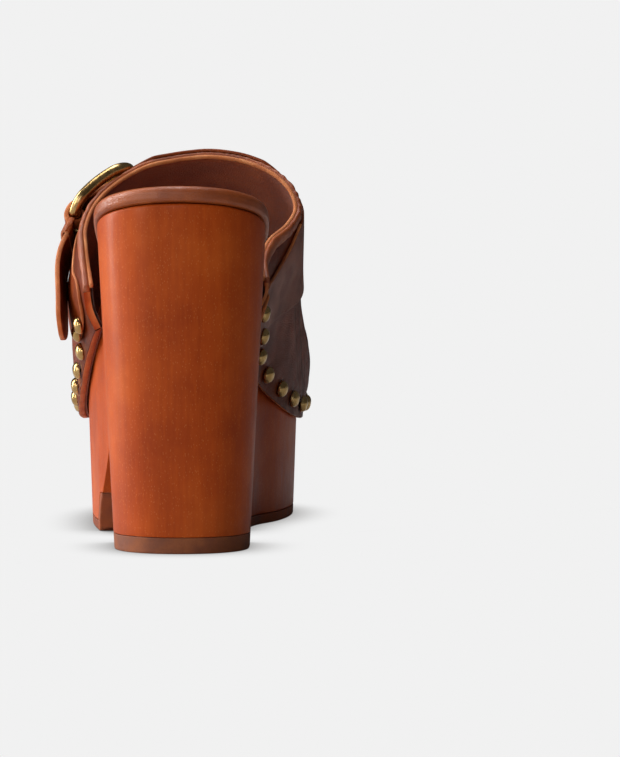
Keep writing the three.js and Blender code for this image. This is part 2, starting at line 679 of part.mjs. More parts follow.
add("wooden_sole", toGeometry(drilled(woodenSole())), "wood");
add("platform_outsole", toGeometry(platformOutsole()), "rubber");
add("heel_top_piece", toGeometry(heelTopPiece()), "rubber");
add("insole_cover", toGeometry(insoleLayer(0, gap, insoleThick).subtract(insoleHollow)), "leather");
add("insole_cushion", toGeometry(insoleLayer(coverThick + gap, gap, insoleThick - coverThick - gap)), "foam");
add("vamp_lining", toGeometry(drilled(lining)), "lining");
add("toe_stiffener", toGeometry(stiffener), "board");
add("vamp_leather", toGeometry(drilled(upperShell(sheetTaus, sheetRows, vampLow, vampHigh))), "leather");
add("topline_binding", toGeometry(topline()), "leather");
add("instep_strap", toGeometry(drilled(strapShell.intersect(strapBand))), "leather");
add("buckle_chape", toGeometry(drilled(chape)), "leather");
add("strap_end", toGeometry(strapEnd()), "leather");
add("strap_tail", toGeometry(strapTail()), "leather");
add("keeper_loop", toGeometry(keeperLoop()), "leather");
add("buckle_frame", toGeometry(buckleFrame()), "gold");
add("buckle_prong", toGeometry(buckleProng()), "gold");
studs.forEach((place, i) => {
  const stud = add("stud_" + String(i + 1).padStart(2, "0"), studGeometry, "gold");
  stud.position.copy(place.position);
  stud.quaternion.copy(place.quaternion);
});

export default clog;
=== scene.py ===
import math

import bpy
import numpy as np
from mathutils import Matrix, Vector


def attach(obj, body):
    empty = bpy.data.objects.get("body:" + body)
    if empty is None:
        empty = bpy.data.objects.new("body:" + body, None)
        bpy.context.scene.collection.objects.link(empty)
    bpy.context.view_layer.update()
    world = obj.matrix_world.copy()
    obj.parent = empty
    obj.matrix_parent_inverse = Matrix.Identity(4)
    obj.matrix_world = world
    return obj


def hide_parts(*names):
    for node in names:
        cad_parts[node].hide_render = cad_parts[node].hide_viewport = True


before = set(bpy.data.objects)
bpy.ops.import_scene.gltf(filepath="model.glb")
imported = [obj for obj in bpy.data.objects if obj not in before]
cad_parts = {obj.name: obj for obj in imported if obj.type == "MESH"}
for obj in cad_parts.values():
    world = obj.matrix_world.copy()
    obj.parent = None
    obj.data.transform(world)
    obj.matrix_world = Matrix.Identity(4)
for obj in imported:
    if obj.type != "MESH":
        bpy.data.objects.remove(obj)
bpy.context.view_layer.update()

# Sizes are in millimetres here, with y from the heel's back edge to the toe.
# place() brings them to the frame.
heelSetback = 29
soleSize = {
    "length": 243, "seat": 133.5, "tread": 57, "ball": 43.5, "heel": 32.6, "heelTip": 26.2, "archBack": 60,
    "skirt": 15, "toeSpring": 5,
}
layers = {
    "lining": 1.0, "vampLow": 1.2, "vampHigh": 3.9, "strapLow": 4.2, "strapHigh": 6.2, "chapeHigh": 5.6,
}
toeX = 4.5


def place(points):
    points = np.asarray(points, float)
    return np.stack([points[..., 0], points[..., 1] - heelSetback, points[..., 2]], -1) / 1000


def smooth(x, low, high):
    t = np.clip((x - low) / (high - low), 0, 1)
    return t * t * (3 - 2 * t)


def spanBlend(x0, x1, x2, x3, w):  # one span of a centripetal spline
    pairs = ((x0, x1), (x1, x2), (x2, x3))
    d0, d1, d2 = (np.maximum(((b - a) ** 2).sum(-1, keepdims=True) ** 0.25, 1e-9) for a, b in pairs)
    d1 = np.where(d1 < 1e-4, 1, d1)
    d0, d2 = np.where(d0 < 1e-4, d1, d0), np.where(d2 < 1e-4, d1, d2)
    t1 = ((x1 - x0) / d0 - (x2 - x0) / (d0 + d1) + (x2 - x1) / d1) * d1
    t2 = ((x2 - x1) / d1 - (x3 - x1) / (d1 + d2) + (x3 - x2) / d2) * d1
    return x1 + t1 * w + (-3 * x1 + 3 * x2 - 2 * t1 - t2) * w**2 + (2 * x1 - 2 * x2 + t1 + t2) * w**3


def spline(points, closed=False):
    points = np.asarray(points, float)
    spans = len(points) if closed else len(points) - 1
    if closed:
        before, after = points[-1:], points[:2]
    else:
        before, after = 2 * points[:1] - points[1:2], 2 * points[-1:] - points[-2:-1]
    row = np.concatenate([before, points, after])

    def at(t):
        p = np.clip(np.asarray(t, float), 0, 1) * spans
        i = np.minimum(p.astype(int), spans - 1)
        return spanBlend(row[i], row[i + 1], row[i + 2], row[i + 3], (p - i)[..., None])

    return at


def through(pairs):
    xs, ys = np.array(pairs, float).T
    low = np.maximum(np.arange(len(xs)) - 1, 0)
    high = np.minimum(np.arange(len(xs)) + 1, len(xs) - 1)
    slope = (ys[high] - ys[low]) / (xs[high] - xs[low])

    def at(t):
        t = np.clip(t, xs[0], xs[-1])
        i = np.clip(np.searchsorted(xs, t) - 1, 0, len(xs) - 2)
        span = xs[i + 1] - xs[i]
        u = (t - xs[i]) / span
        return (
            (2 * u**3 - 3 * u**2 + 1) * ys[i] + (u**3 - 2 * u**2 + u) * span * slope[i]
            + (3 * u**2 - 2 * u**3) * ys[i + 1] + (u**3 - u**2) * span * slope[i + 1]
        )

    return at


def turnsRound(count):
    return np.linspace(0, 2 * math.pi, count, endpoint=False)


def unit(ways):
    return ways / np.linalg.norm(ways, axis=-1, keepdims=True)


def ripple(points, size, seed):  # soft unevenness in space, about -1 to 1
    rng = np.random.default_rng(seed)
    total = 0
    for _ in range(7):
        way = rng.normal(size=3)
        way *= rng.uniform(0.6, 1.5) / (np.linalg.norm(way) * size) * 2 * math.pi
        total = total + np.sin(points @ way + rng.uniform(0, 6.3))
    return total / 4


ball, heel = soleSize["ball"], soleSize["heel"]
plan = spline(
    [
        [0, 0], [-0.3 * heel, 1.1], [-0.57 * heel, 4.6], [-0.83 * heel, 12], [-0.97 * heel, 22],
        [-heel, 34], [-0.995 * heel, 55], [-34.4, 80], [-37.3, 100],
        [-0.93 * ball, 120], [-0.98 * ball, 140], [-ball, 163], [-0.955 * ball, 190], [-0.83 * ball, 212],
        [-0.55 * ball, 232], [-0.2 * ball, 241], [toeX, 243], [0.42 * ball, 240.5], [0.72 * ball, 232],
        [0.93 * ball, 215], [1.015 * ball, 193], [0.985 * ball, 170], [0.86 * ball, 147], [29, 128],
        [25, 108], [25.8, 86], [29.4, 64], [0.985 * heel, 44], [heel, 33], [0.97 * heel, 21],
        [0.83 * heel, 11.5], [0.57 * heel, 4.2], [0.3 * heel, 1.0],
    ],
    closed=True,
)
flatPlan = plan(np.linspace(0, 1, 2401))
toeAt = int(np.argmax(flatPlan[:, 1]))
outerSide, innerSide = flatPlan[: toeAt + 1], flatPlan[toeAt:][::-1]


def sideX(side, y):
    edge = outerSide if side < 0 else innerSide
    return np.interp(y, edge[:, 1], edge[:, 0])


footbedShape = through([
    [0, 1], [28, 0.885], [60, 0.69], [90, 0.45], [120, 0.22], [148, 0.068], [172, 0.005], [200, 0.005],
    [225, 0.04], [243, 0.085],
])
footbed = lambda y: soleSize["tread"] + (soleSize["seat"] - soleSize["tread"]) * footbedShape(y)
tread = lambda y: soleSize["toeSpring"] * np.clip((y - 189.5) / 53.5, 0, 1.2) ** 2


def taper(y, z):
    heelShare = 1 - (1 - soleSize["heelTip"] / heel) * np.clip(1 - z / (soleSize["seat"] - 8), 0, 1)
    platformShare = 1 - 0.045 * np.clip(1 - z / soleSize["tread"], 0, 1)
    part = smooth(y, 70, 100)
    return heelShare * (1 - part) + platformShare * part


def lean(y, z):
    drop = np.clip(1 - z / soleSize["seat"], 0, 1)
    return 4 * drop * np.maximum(0, 1 - y / soleSize["archBack"]) - 3 * drop * smooth(y, 182, 243)


clogCollection = bpy.context.scene.collection


def gridFaces(rows, cols, closeRows=False, closeCols=False, flip=False):
    steps = np.arange(rows if closeRows else rows - 1), np.arange(cols if closeCols else cols - 1)
    i, j = (places.ravel() for places in np.meshgrid(*steps, indexing="ij"))
    n, m = (i + 1) % rows, (j + 1) % cols
    quads = np.stack([i * cols + j, i * cols + m, n * cols + m, n * cols + j], -1)
    return quads[:, ::-1] if flip else quads


def makeMesh(name, points, faces, materials, faceSlots=None):
    mesh = bpy.data.meshes.new(name)
    mesh.from_pydata(place(points).tolist(), [], [list(map(int, face)) for face in faces])
    for material in materials if isinstance(materials, list) else [materials]:
        mesh.materials.append(material)
    if faceSlots is not None:
        mesh.polygons.foreach_set("material_index", np.asarray(faceSlots, dtype=np.int32))
    mesh.polygons.foreach_set("use_smooth", [True] * len(mesh.polygons))
    mesh.validate()
    mesh.update()
    piece = bpy.data.objects.new(name, mesh)
    clogCollection.objects.link(piece)
    return piece


def sweepMesh(name, rings, materials, closed=False, slotsOf=None):  # rings joined to a tube
    rings = np.asarray(rings, float)
    count, m = rings.shape[:2]
    points = rings.reshape(-1, 3)
    faces = list(gridFaces(count, m, closeRows=closed, closeCols=True))
    slots = [0 if slotsOf is None else slotsOf[k % m] for k in range(len(faces))]
    if not closed:
        points = np.concatenate([points, rings[0].mean(0)[None], rings[-1].mean(0)[None]])
        first, last = count * m, count * m + 1
        for j in range(m):
            k = (j + 1) % m
            faces.append([first, k, j])
            faces.append([last, (count - 1) * m + j, (count - 1) * m + k])
            slots += [1 if slotsOf is not None else 0] * 2
    return facingOut(makeMesh(name, points, faces, materials, slots))


def facingOut(piece):  # turns a closed piece's faces outward
    mesh = piece.data
    mesh.calc_loop_triangles()
    corners = np.empty(len(mesh.vertices) * 3)
    mesh.vertices.foreach_get("co", corners)
    corners = corners.reshape(-1, 3)
    triangles = np.empty(len(mesh.loop_triangles) * 3, dtype=np.int32)
    mesh.loop_triangles.foreach_get("vertices", triangles)
    a, b, c = (corners[triangles.reshape(-1, 3)[:, k]] for k in range(3))
    if (a * np.cross(b, c)).sum() < 0:
        mesh.flip_normals()
    return piece


def settle(piece, body, slot, *nodes):
    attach(piece, body)
    if nodes:
        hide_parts(*nodes)
    return piece


def soleLoop(start, end, extra=(), offset=None):  # the outline between two y, as one loop
    turn = np.linspace(0, math.pi, 260)
    ys = soleSize["length"] * (1 - np.cos(turn)) / 2
    ys = np.unique(np.clip(np.concatenate([ys, extra]), start, end))
    outer = np.stack([sideX(-1, ys), ys], -1)
    inner = np.stack([sideX(1, ys), ys], -1)[::-1]
    pieces = [outer]
    if end < soleSize["length"]:
        pieces.append(np.linspace(outer[-1], inner[0], 26)[1:-1])
    pieces.append(inner[1:] if end >= soleSize["length"] else inner)
    if start > 0:
        pieces.append(np.linspace(inner[-1], outer[0], 26)[1:-1])
    else:
        pieces[-1] = pieces[-1][:-1]
    loop = np.concatenate(pieces)
    ahead, behind = np.roll(loop, -1, 0), np.roll(loop, 1, 0)
    along = ahead - behind
    outward = np.stack([-along[:, 1], along[:, 0]], -1)
    outward /= np.maximum(np.linalg.norm(outward, axis=1, keepdims=True), 1e-9)
    if offset is not None:
        loop = loop + outward * offset(loop)[:, None]
    return loop, outward


def puck(
    name, loop, outward, low, high, lowRound, highRound, material, dip=None, span=(25, 205), levels=46
):  # a solid between two heights over the outline, with rounded edges
    spineY = np.clip(loop[:, 1], *span)
    spine = np.stack([(sideX(-1, spineY) + sideX(1, spineY)) / 2, spineY], -1)
    arc = np.linspace(0, math.pi / 2, 7)
    atEdge = 0 * loop[:, 0]

    def towardsSpine(radius, t):
        flat = loop - outward * radius + (spine - loop + outward * radius) * t
        return flat, np.linalg.norm(flat - loop, axis=1)

    rings = []  # flat points, share of the height, distance inward, share of the rounding and its radius
    for t in np.linspace(1, 0, 26)[:-1]:
        flat, inset = towardsSpine(lowRound, t)
        rings.append((flat, 0, inset, 0, lowRound))
    for turn in arc:
        flat = loop - outward * lowRound * (1 - math.sin(turn))
        rings.append((flat, 0, atEdge, 1 - math.cos(turn), lowRound))
    for t in np.linspace(0, 1, levels)[1:-1]:
        rings.append((loop, t, atEdge, 0, 0))
    for turn in arc[::-1]:
        flat = loop - outward * highRound * (1 - math.sin(turn))
        rings.append((flat, 1, atEdge, 1 - math.cos(turn), highRound))
    for t in np.concatenate([np.linspace(0, 0.3, 16)[1:], np.linspace(0.3, 1, 16)[1:]]):
        flat, inset = towardsSpine(highRound, t)
        rings.append((flat, 1, inset, 0, highRound))
    points = []
    for flat, share, inset, edge, radius in rings:
        x, y = flat[:, 0], flat[:, 1]
        shifted = y
        for _ in range(3):
            bottom, top = low(shifted), high(shifted)
            if dip is not None:
                top = top + dip(inset)
            if share == 0:
                z = bottom + edge * radius
            elif share == 1:
                z = top - edge * radius
            else:
                z = bottom + lowRound + np.maximum(top - bottom - lowRound - highRound, 0) * share
            shifted = y + lean(y, z)
        points.append(np.stack([x * taper(y, z), shifted, z], -1))
    faces = gridFaces(len(rings), len(loop), closeCols=True)
    return facingOut(makeMesh(name, np.concatenate(points), faces, material))


stations = [
    [[-1, 78], [-35.8, 77.5, -8], [-36.6, 77, -3.5], [-37, 76, 0]],
    [[-1, 94], [-40.5, 90, 6.5], [-41.2, 88, 15.5], [-39.6, 88, 22.5]],
    [[-1, 115], [-43, 110, 12.5], [-43.2, 103, 26.5], [-40.3, 97, 36.5]],
    [[-1, 138], [-45, 134, 14.5], [-44, 122, 35], [-36.5, 105, 51]],
    [[-1, 163], [-46.2, 161, 13], [-41.5, 148, 41], [-28, 112, 63.5]],
    [[-1, 190], [-44.8, 190, 9], [-35, 175, 38], [-16, 116.5, 72.5]],
    [[-1, 215], [-37, 216, 4.5], [-26, 200, 29.5], [-6, 119, 76]],
    [[-1, 234], [-21, 236, 1], [-12.5, 218, 23], [1, 120, 77.5]],
    [[0, 243], [4.5, 245.8, -0.5], [6, 226, 20], [8, 120, 78]],
    [[1, 235], [27, 237, 0.5], [21, 220, 22.5], [16, 119.3, 77]],
    [[1, 217], [41.5, 218, 5], [31.5, 203, 29.5], [24, 117.8, 74.5]],
    [[1, 193], [46.6, 192, 9.5], [38, 178, 37], [34, 114, 68]],
    [[1, 168], [45.8, 166, 14], [41.5, 151, 40.5], [40.8, 109.5, 59]],
    [[1, 142], [41.5, 140, 18], [43, 127, 38.5], [43.2, 105.5, 49.5]],
    [[1, 116], [35.5, 115, 16.5], [40, 109, 32], [40.2, 98.5, 39]],
    [[1, 90], [31, 90, 6.5], [33.5, 88, 17.5], [33, 86, 25]],
    [[1, 74], [29.3, 74, -2.5], [30, 73, 3], [29.8, 72, 8.5]],
    [[1, 62], [30.6, 61.5, -11], [30.8, 61, -8], [30.8, 60.5, -5.5]],
]


def edgePoint(side, y):
    z = float(footbed(y)) - soleSize["skirt"]
    if side == 0:
        return [toeX, 243.9 - 3 * (1 - z / soleSize["seat"]), z]
    along = unit(np.array([float(sideX(side, y + 1) - sideX(side, y - 1)), 2.0]))
    out = 0.45 * side
    return [float(sideX(side, y) * taper(y, z)) + out * along[1], y - out * along[0], z]


rows = [[edgePoint(*station[0]) for station in stations]]
rows += [[[x, y, float(footbed(y)) + above] for x, y, above in (s[k] for s in stations)] for k in (1, 2, 3)]
rowCurves = [spline(row) for row in rows]


def surface(tau, s):
    tau, s = np.broadcast_arrays(np.asarray(tau, float), np.asarray(s, float))
    knots = np.stack([curve(tau) for curve in rowCurves], -2)
    first = 2 * knots[..., :1, :] - knots[..., 1:2, :]
    last = 2 * knots[..., -1:, :] - knots[..., -2:-1, :]
    knots = np.concatenate([first, knots, last], -2)
    p = np.clip(s, 0, 1) * 3
    i = np.minimum(p.astype(int), 2)
    pick = lambda k: np.take_along_axis(knots, (i + k)[..., None, None], -2)[..., 0, :]
    return spanBlend(pick(0), pick(1), pick(2), pick(3), (p - i)[..., None])


def upper(tau, s):  # a point of the inner face, its outward normal and the way up it
    tau, s = np.asarray(tau), np.asarray(s)
    step = 0.004
    along = surface(np.minimum(tau + step, 1), s) - surface(np.maximum(tau - step, 0), s)
    up = surface(tau, np.minimum(s + step, 1)) - surface(tau, np.maximum(s - step, 0))
    return surface(tau, s), unit(np.cross(up, along)), unit(up)


def thin(points):  # the leather lies closer over the instep and down the inner side
    return 1 - 0.36 * np.maximum(smooth(points[..., 0], -26, -8), smooth(points[..., 2], 94, 112))


def fromEdge(tau, distance):
    return distance / (3 * np.linalg.norm(rowCurves[0](tau) - rowCurves[1](tau), axis=-1))


def fromThroat(tau, distance):
    return 1 - distance / (3 * np.linalg.norm(rowCurves[2](tau) - rowCurves[3](tau), axis=-1))


print("shapes ready")


class Effect:  # a node group with named inputs and outputs
    def __init__(self, name, inputs, outputs):
        self.tree = bpy.data.node_groups.new(name, "ShaderNodeTree")
        for label, value in inputs.items():
            socket = self.tree.interface.new_socket(label, in_out="INPUT", socket_type="NodeSocketFloat")
            socket.default_value = value
        for label, kind in outputs.items():
            self.tree.interface.new_socket(label, in_out="OUTPUT", socket_type="NodeSocket" + kind)
        self.start = self.tree.nodes.new("NodeGroupInput")
        self.end = self.tree.nodes.new("NodeGroupOutput")


def link(tree, source, target):
    tree.links.new(source, target)


def node(tree, kind, inputs=None, **settings):
    made = tree.nodes.new("ShaderNode" + kind)
    for key, value in settings.items():
        setattr(made, key, value)
    for key, value in (inputs or {}).items():
        if isinstance(value, bpy.types.NodeSocket):
            tree.links.new(value, made.inputs[key])
        else:
            made.inputs[key].default_value = value
    return made


def whereIn(tree):
    return node(tree, "TexCoord").outputs["Object"]


def noise(tree, where, scale, detail, **more):
    sockets = {"Vector": where, "Scale": scale, "Detail": detail, **more}
    return node(tree, "TexNoise", sockets).outputs["Fac"]


def cellDistance(tree, where, scale, feature):
    sockets = {"Vector": where, "Scale": scale}
    return node(tree, "TexVoronoi", sockets, feature=feature).outputs["Distance"]


def timesVector(tree, vector, amount):
    return node(tree, "VectorMath", {0: vector, "Scale": amount}, operation="SCALE").outputs["Vector"]


def mapped(tree, where, **settings):
    return node(tree, "Mapping", {"Vector": where, **settings}).outputs["Vector"]


def maths(tree, operation, a, b=0.5, clamped=False):
    return node(tree, "Math", {0: a, 1: b}, operation=operation, use_clamp=clamped).outputs[0]


def remap(tree, value, low, high, toLow=0.0, toHigh=1.0):
    sockets = {"Value": value, "From Min": low, "From Max": high, "To Min": toLow, "To Max": toHigh}
    return node(tree, "MapRange", sockets, interpolation_type="SMOOTHSTEP").outputs["Result"]


def ramp(tree, factor, stops):
    made = node(tree, "ValToRGB", {"Fac": factor})
    elements = made.color_ramp.elements
    while len(elements) < len(stops):
        elements.new(0.5)
    for element, (position, colour) in zip(elements, stops):
        element.position = position
        element.color = (*colour, 1)
    return made.outputs["Color"]


def blendColour(tree, factor, first, second):
    made = node(tree, "Mix", {0: factor}, data_type="RGBA")
    for index, value in ((6, first), (7, second)):
        if isinstance(value, bpy.types.NodeSocket):
            tree.links.new(value, made.inputs[index])
        else:
            made.inputs[index].default_value = (*value, 1)
    return made.outputs[2]


def tone(red, green, blue):  # screen values from 0 to 255, brought to linear ones
    shares = (v / 255 for v in (red, green, blue))
    return tuple(v / 12.92 if v <= 0.04045 else ((v + 0.055) / 1.055) ** 2.4 for v in shares)


def leatherGrain():
    effect = Effect("leather grain", {"Size": 1.0}, {"Height": "Float", "Broad": "Float", "Pores": "Float"})
    tree, size = effect.tree, effect.start.outputs["Size"]
    where = whereIn(tree)
    scaled = timesVector(tree, where, size)
    warp = node(tree, "TexNoise", {"Vector": scaled, "Scale": 260, "Detail": 2})
    bent = timesVector(tree, warp.outputs["Color"], 0.0014)
    bent = node(tree, "VectorMath", {0: scaled, 1: bent}, operation="ADD").outputs["Vector"]
    cells = cellDistance(tree, bent, 1150, "DISTANCE_TO_EDGE")
    pebble = remap(tree, cells, 0.0, 0.35)
    fine = noise(tree, scaled, 2600, 4, Roughness=0.6)
    broad = noise(tree, scaled, 55, 5, Roughness=0.55)
    spots = cellDistance(tree, scaled, 1700, "F1")
    pores = remap(tree, spots, 0.05, 0.22, 1.0, 0.0)
    height = maths(tree, "MULTIPLY_ADD", fine, 0.35)
    tree.links.new(pebble, height.node.inputs[2])
    link(tree, height, effect.end.inputs["Height"])
    link(tree, broad, effect.end.inputs["Broad"])
    link(tree, pores, effect.end.inputs["Pores"])
    return effect.tree


def woodGrain():
    outputs = {"Rings": "Float", "Fibre": "Float", "Flecks": "Float", "Cloud": "Float"}
    effect = Effect("wood grain", {"Ring Scale": 1.0}, outputs)
    tree = effect.tree
    where = whereIn(tree)
    tall = mapped(tree, where, Scale=(1, 1, 0.09))
    slow = noise(tree, tall, 34, 3)
    across = node(tree, "SeparateXYZ", {0: tall})
    spread = maths(tree, "MULTIPLY", across.outputs["X"], effect.start.outputs["Ring Scale"])
    bent = maths(tree, "MULTIPLY_ADD", slow, 0.03)
    tree.links.new(spread, bent.node.inputs[2])
    waves = maths(tree, "MULTIPLY_ADD", maths(tree, "SINE", maths(tree, "MULTIPLY", bent, 1500.0)), 0.5)
    waves.node.inputs[2].default_value = 0.5
    strands = noise(tree, tall, 900, 6, Roughness=0.7)
    short = mapped(tree, where, Scale=(1, 1, 0.55))
    dots = cellDistance(tree, short, 1150, "F1")
    cloud = noise(tree, where, 30, 4, Roughness=0.55)
    link(tree, waves, effect.end.inputs["Rings"])
    link(tree, strands, effect.end.inputs["Fibre"])
    link(tree, remap(tree, dots, 0.08, 0.3, 1.0, 0.0), effect.end.inputs["Flecks"])
    link(tree, cloud, effect.end.inputs["Cloud"])
    return effect.tree


def edgeWear():
    effect = Effect("edge wear", {"Amount": 0.5}, {"Wear": "Float"})
    tree = effect.tree
    where = whereIn(tree)
    patchy = noise(tree, where, 180, 5, Roughness=0.65)
    sharp = node(tree, "NewGeometry").outputs["Pointiness"]
    ridge = remap(tree, sharp, 0.51, 0.6)
    worn = maths(tree, "MULTIPLY", ridge, remap(tree, patchy, 0.35, 0.65))
    worn = maths(tree, "MULTIPLY", worn, effect.start.outputs["Amount"], True)
    link(tree, worn, effect.end.inputs["Wear"])
    return effect.tree


def fineDust():
    effect = Effect("fine dust", {"Amount": 0.1}, {"Dust": "Float"})
    tree = effect.tree
    where = whereIn(tree)
    specks = noise(tree, where, 700, 6, Roughness=0.75)
    facing = node(tree, "SeparateXYZ", {0: node(tree, "NewGeometry").outputs["Normal"]}).outputs["Z"]
    lying = maths(tree, "MULTIPLY", remap(tree, facing, 0.1, 1.0), remap(tree, specks, 0.5, 0.72))
    lying = maths(tree, "MULTIPLY", lying, effect.start.outputs["Amount"], True)
    link(tree, lying, effect.end.inputs["Dust"])
    return effect.tree


def scuffs():
    effect = Effect("scuffs", {"Scale": 1.0}, {"Marks": "Float", "Smudge": "Float"})
    tree = effect.tree
    where = whereIn(tree)
    scaled = timesVector(tree, where, effect.start.outputs["Scale"])
    turned = mapped(tree, scaled, Rotation=(0.4, 0.9, 0.3), Scale=(1, 14, 1))
    hair = noise(tree, turned, 420, 3, Distortion=0.4)
    smudge = noise(tree, scaled, 120, 4)
    link(tree, remap(tree, hair, 0.62, 0.74), effect.end.inputs["Marks"])
    link(tree, smudge, effect.end.inputs["Smudge"])
    return effect.tree


effects = {
    "leather": leatherGrain(), "wood": woodGrain(), "wear": edgeWear(), "dust": fineDust(),
    "scuffs": scuffs(),
}
grainDepth = 0.0003


def applied(tree, name, **inputs):
    made = tree.nodes.new("ShaderNodeGroup")
    made.node_tree = effects[name]
    for key, value in inputs.items():
        made.inputs[key].default_value = value
    return made.outputs


def newMaterial(name, **fixed):
    material = bpy.data.materials.new(name)
    material.use_nodes = True
    tree = material.node_tree
    shader = tree.nodes["Principled BSDF"]
    for key, value in fixed.items():
        shader.inputs[key].default_value = value
    return material, tree, shader


def bumped(tree, shader, height, strength, distance):
    bump = node(tree, "Bump", {"Height": height, "Strength": strength, "Distance": distance})
    link(tree, bump.outputs["Normal"], shader.inputs["Normal"])


def leatherLook(look):
    material, tree, shader = newMaterial(look["name"], **look["fixed"])
    grain = applied(tree, "leather", Size=look["size"])
    worn = applied(tree, "wear", Amount=look["wear"])["Wear"]
    dusty = applied(tree, "dust", Amount=look["dust"])["Dust"]
    base = ramp(tree, grain["Broad"], [(0.3, look["dark"]), (0.52, look["mid"]), (0.72, look["light"])])
    base = blendColour(tree, maths(tree, "MULTIPLY", grain["Pores"], look["pores"]), base, look["dark"])
    base = blendColour(tree, worn, base, look["worn"])
    base = blendColour(tree, dusty, base, tone(205, 190, 170))
    link(tree, base, shader.inputs["Base Color"])
    low, high = look["rough"]
    link(tree, remap(tree, grain["Broad"], 0.25, 0.75, high, low), shader.inputs["Roughness"])
    bumped(tree, shader, grain["Height"], look["bump"], grainDepth)
    return material


warmShine = (1.0, 0.7, 0.5, 1.0)
upperLeather = leatherLook({
    "name": "upper leather", "size": 1.0, "dark": tone(76, 22, 2), "mid": tone(102, 34, 5),
    "light": tone(128, 50, 11), "worn": tone(170, 100, 62), "wear": 0.35, "dust": 0.015, "pores": 0.3,
    "rough": (0.36, 0.52), "bump": 0.35,
    "fixed": {
        "Specular Tint": warmShine, "Specular IOR Level": 0.22, "Coat Weight": 0.04, "Coat Roughness": 0.25,
    },
})
strapLeather = leatherLook({
    "name": "strap leather", "size": 1.1, "dark": tone(94, 32, 6), "mid": tone(122, 48, 10),
    "light": tone(150, 66, 18), "worn": tone(182, 112, 70), "wear": 0.45, "dust": 0.015, "pores": 0.3,
    "rough": (0.34, 0.5), "bump": 0.35,
    "fixed": {
        "Specular Tint": warmShine, "Specular IOR Level": 0.3, "Coat Weight": 0.05, "Coat Roughness": 0.3,
    },
})
bindingLeather = leatherLook({
    "name": "binding leather", "size": 1.3, "dark": tone(126, 54, 16), "mid": tone(152, 70, 24),
    "light": tone(176, 90, 38), "worn": tone(196, 126, 80), "wear": 0.4, "dust": 0.015, "pores": 0.2,
    "rough": (0.36, 0.5), "bump": 0.3, "fixed": {"Coat Weight": 0.1, "Coat Roughness": 0.35},
})
cutEdge = leatherLook({
    "name": "cut leather edge", "size": 1.8, "dark": tone(178, 92, 40), "mid": tone(208, 120, 58),
    "light": tone(228, 148, 84), "worn": tone(226, 170, 124), "wear": 0.3, "dust": 0.03, "pores": 0.35,
    "rough": (0.55, 0.75), "bump": 0.5, "fixed": {"Sheen Weight": 0.1},
})
insoleLeather = leatherLook({
    "name": "insole leather", "size": 1.2, "dark": tone(128, 56, 18), "mid": tone(156, 74, 26),
    "light": tone(178, 92, 38), "worn": tone(196, 132, 92), "wear": 0.5, "dust": 0.02, "pores": 0.3,
    "rough": (0.3, 0.42), "bump": 0.28, "fixed": {"Coat Weight": 0.1, "Coat Roughness": 0.3},
})
liningLeather = leatherLook({
    "name": "lining leather", "size": 0.8, "dark": tone(116, 50, 18), "mid": tone(142, 66, 26),
    "light": tone(164, 84, 38), "worn": tone(180, 116, 78), "wear": 0.2, "dust": 0.015, "pores": 0.4,
    "rough": (0.62, 0.8), "bump": 0.45, "fixed": {"Sheen Weight": 0.15, "Sheen Roughness": 0.5},
})


def woodLook(look):
    material, tree, shader = newMaterial(look["name"], **look["fixed"])
    grain = applied(tree, "wood", **{"Ring Scale": look["rings"]})
    worn = applied(tree, "wear", Amount=look["wear"])["Wear"]
    base = ramp(tree, grain["Cloud"], [(0.28, look["dark"]), (0.5, look["mid"]), (0.74, look["light"])])
    base = blendColour(tree, maths(tree, "MULTIPLY", grain["Rings"], 0.14), base, look["ring"])
    base = blendColour(tree, remap(tree, grain["Fibre"], 0.42, 0.75, 0.0, 0.34), base, look["light"])
    base = blendColour(tree, maths(tree, "MULTIPLY", grain["Flecks"], 0.2), base, look["fleck"])
    base = blendColour(tree, worn, base, look["worn"])
    link(tree, base, shader.inputs["Base Color"])
    link(tree, remap(tree, grain["Fibre"], 0.3, 0.7, *look["rough"]), shader.inputs["Roughness"])
    height = maths(tree, "SUBTRACT", grain["Fibre"], maths(tree, "MULTIPLY", grain["Flecks"], 0.5))
    bumped(tree, shader, height, 0.18, grainDepth)
    return material


stainedWood = woodLook({
    "name": "stained wood", "rings": 1.0, "dark": tone(152, 52, 7), "mid": tone(178, 70, 14),
    "light": tone(200, 90, 26), "ring": tone(140, 50, 14), "fleck": tone(230, 150, 84),
    "worn": tone(206, 122, 72), "wear": 0.4, "rough": (0.44, 0.58),
    "fixed": {
        "Specular Tint": warmShine, "Specular IOR Level": 0.22, "Coat Weight": 0.1, "Coat Roughness": 0.2,
    },
})


def rubberLook(look):
    material, tree, shader = newMaterial(look["name"])
    marks = applied(tree, "scuffs", Scale=look["scale"])
    dusty = applied(tree, "dust", Amount=0.12)["Dust"]
    worn = applied(tree, "wear", Amount=0.5)["Wear"]
    where = whereIn(tree)
    speckle = noise(tree, where, 1500, 5, Roughness=0.7)
    base = ramp(tree, marks["Smudge"], [(0.3, look["dark"]), (0.7, look["light"])])
    base = blendColour(tree, remap(tree, speckle, 0.45, 0.7, 0.0, 0.35), base, look["dark"])
    base = blendColour(tree, worn, base, look["worn"])
    base = blendColour(tree, dusty, base, tone(190, 176, 160))
    link(tree, base, shader.inputs["Base Color"])
    link(tree, remap(tree, marks["Smudge"], 0.3, 0.7, 0.62, 0.8), shader.inputs["Roughness"])
    bumped(tree, shader, speckle, 0.4, grainDepth)
    return material


outsoleRubber = rubberLook({
    "name": "outsole rubber", "scale": 1.0, "dark": tone(122, 54, 20), "light": tone(156, 76, 32),
    "worn": tone(176, 108, 66),
})
heelRubber = rubberLook({
    "name": "heel rubber", "scale": 1.2, "dark": tone(116, 58, 30), "light": tone(150, 84, 46),
    "worn": tone(180, 122, 80),
})


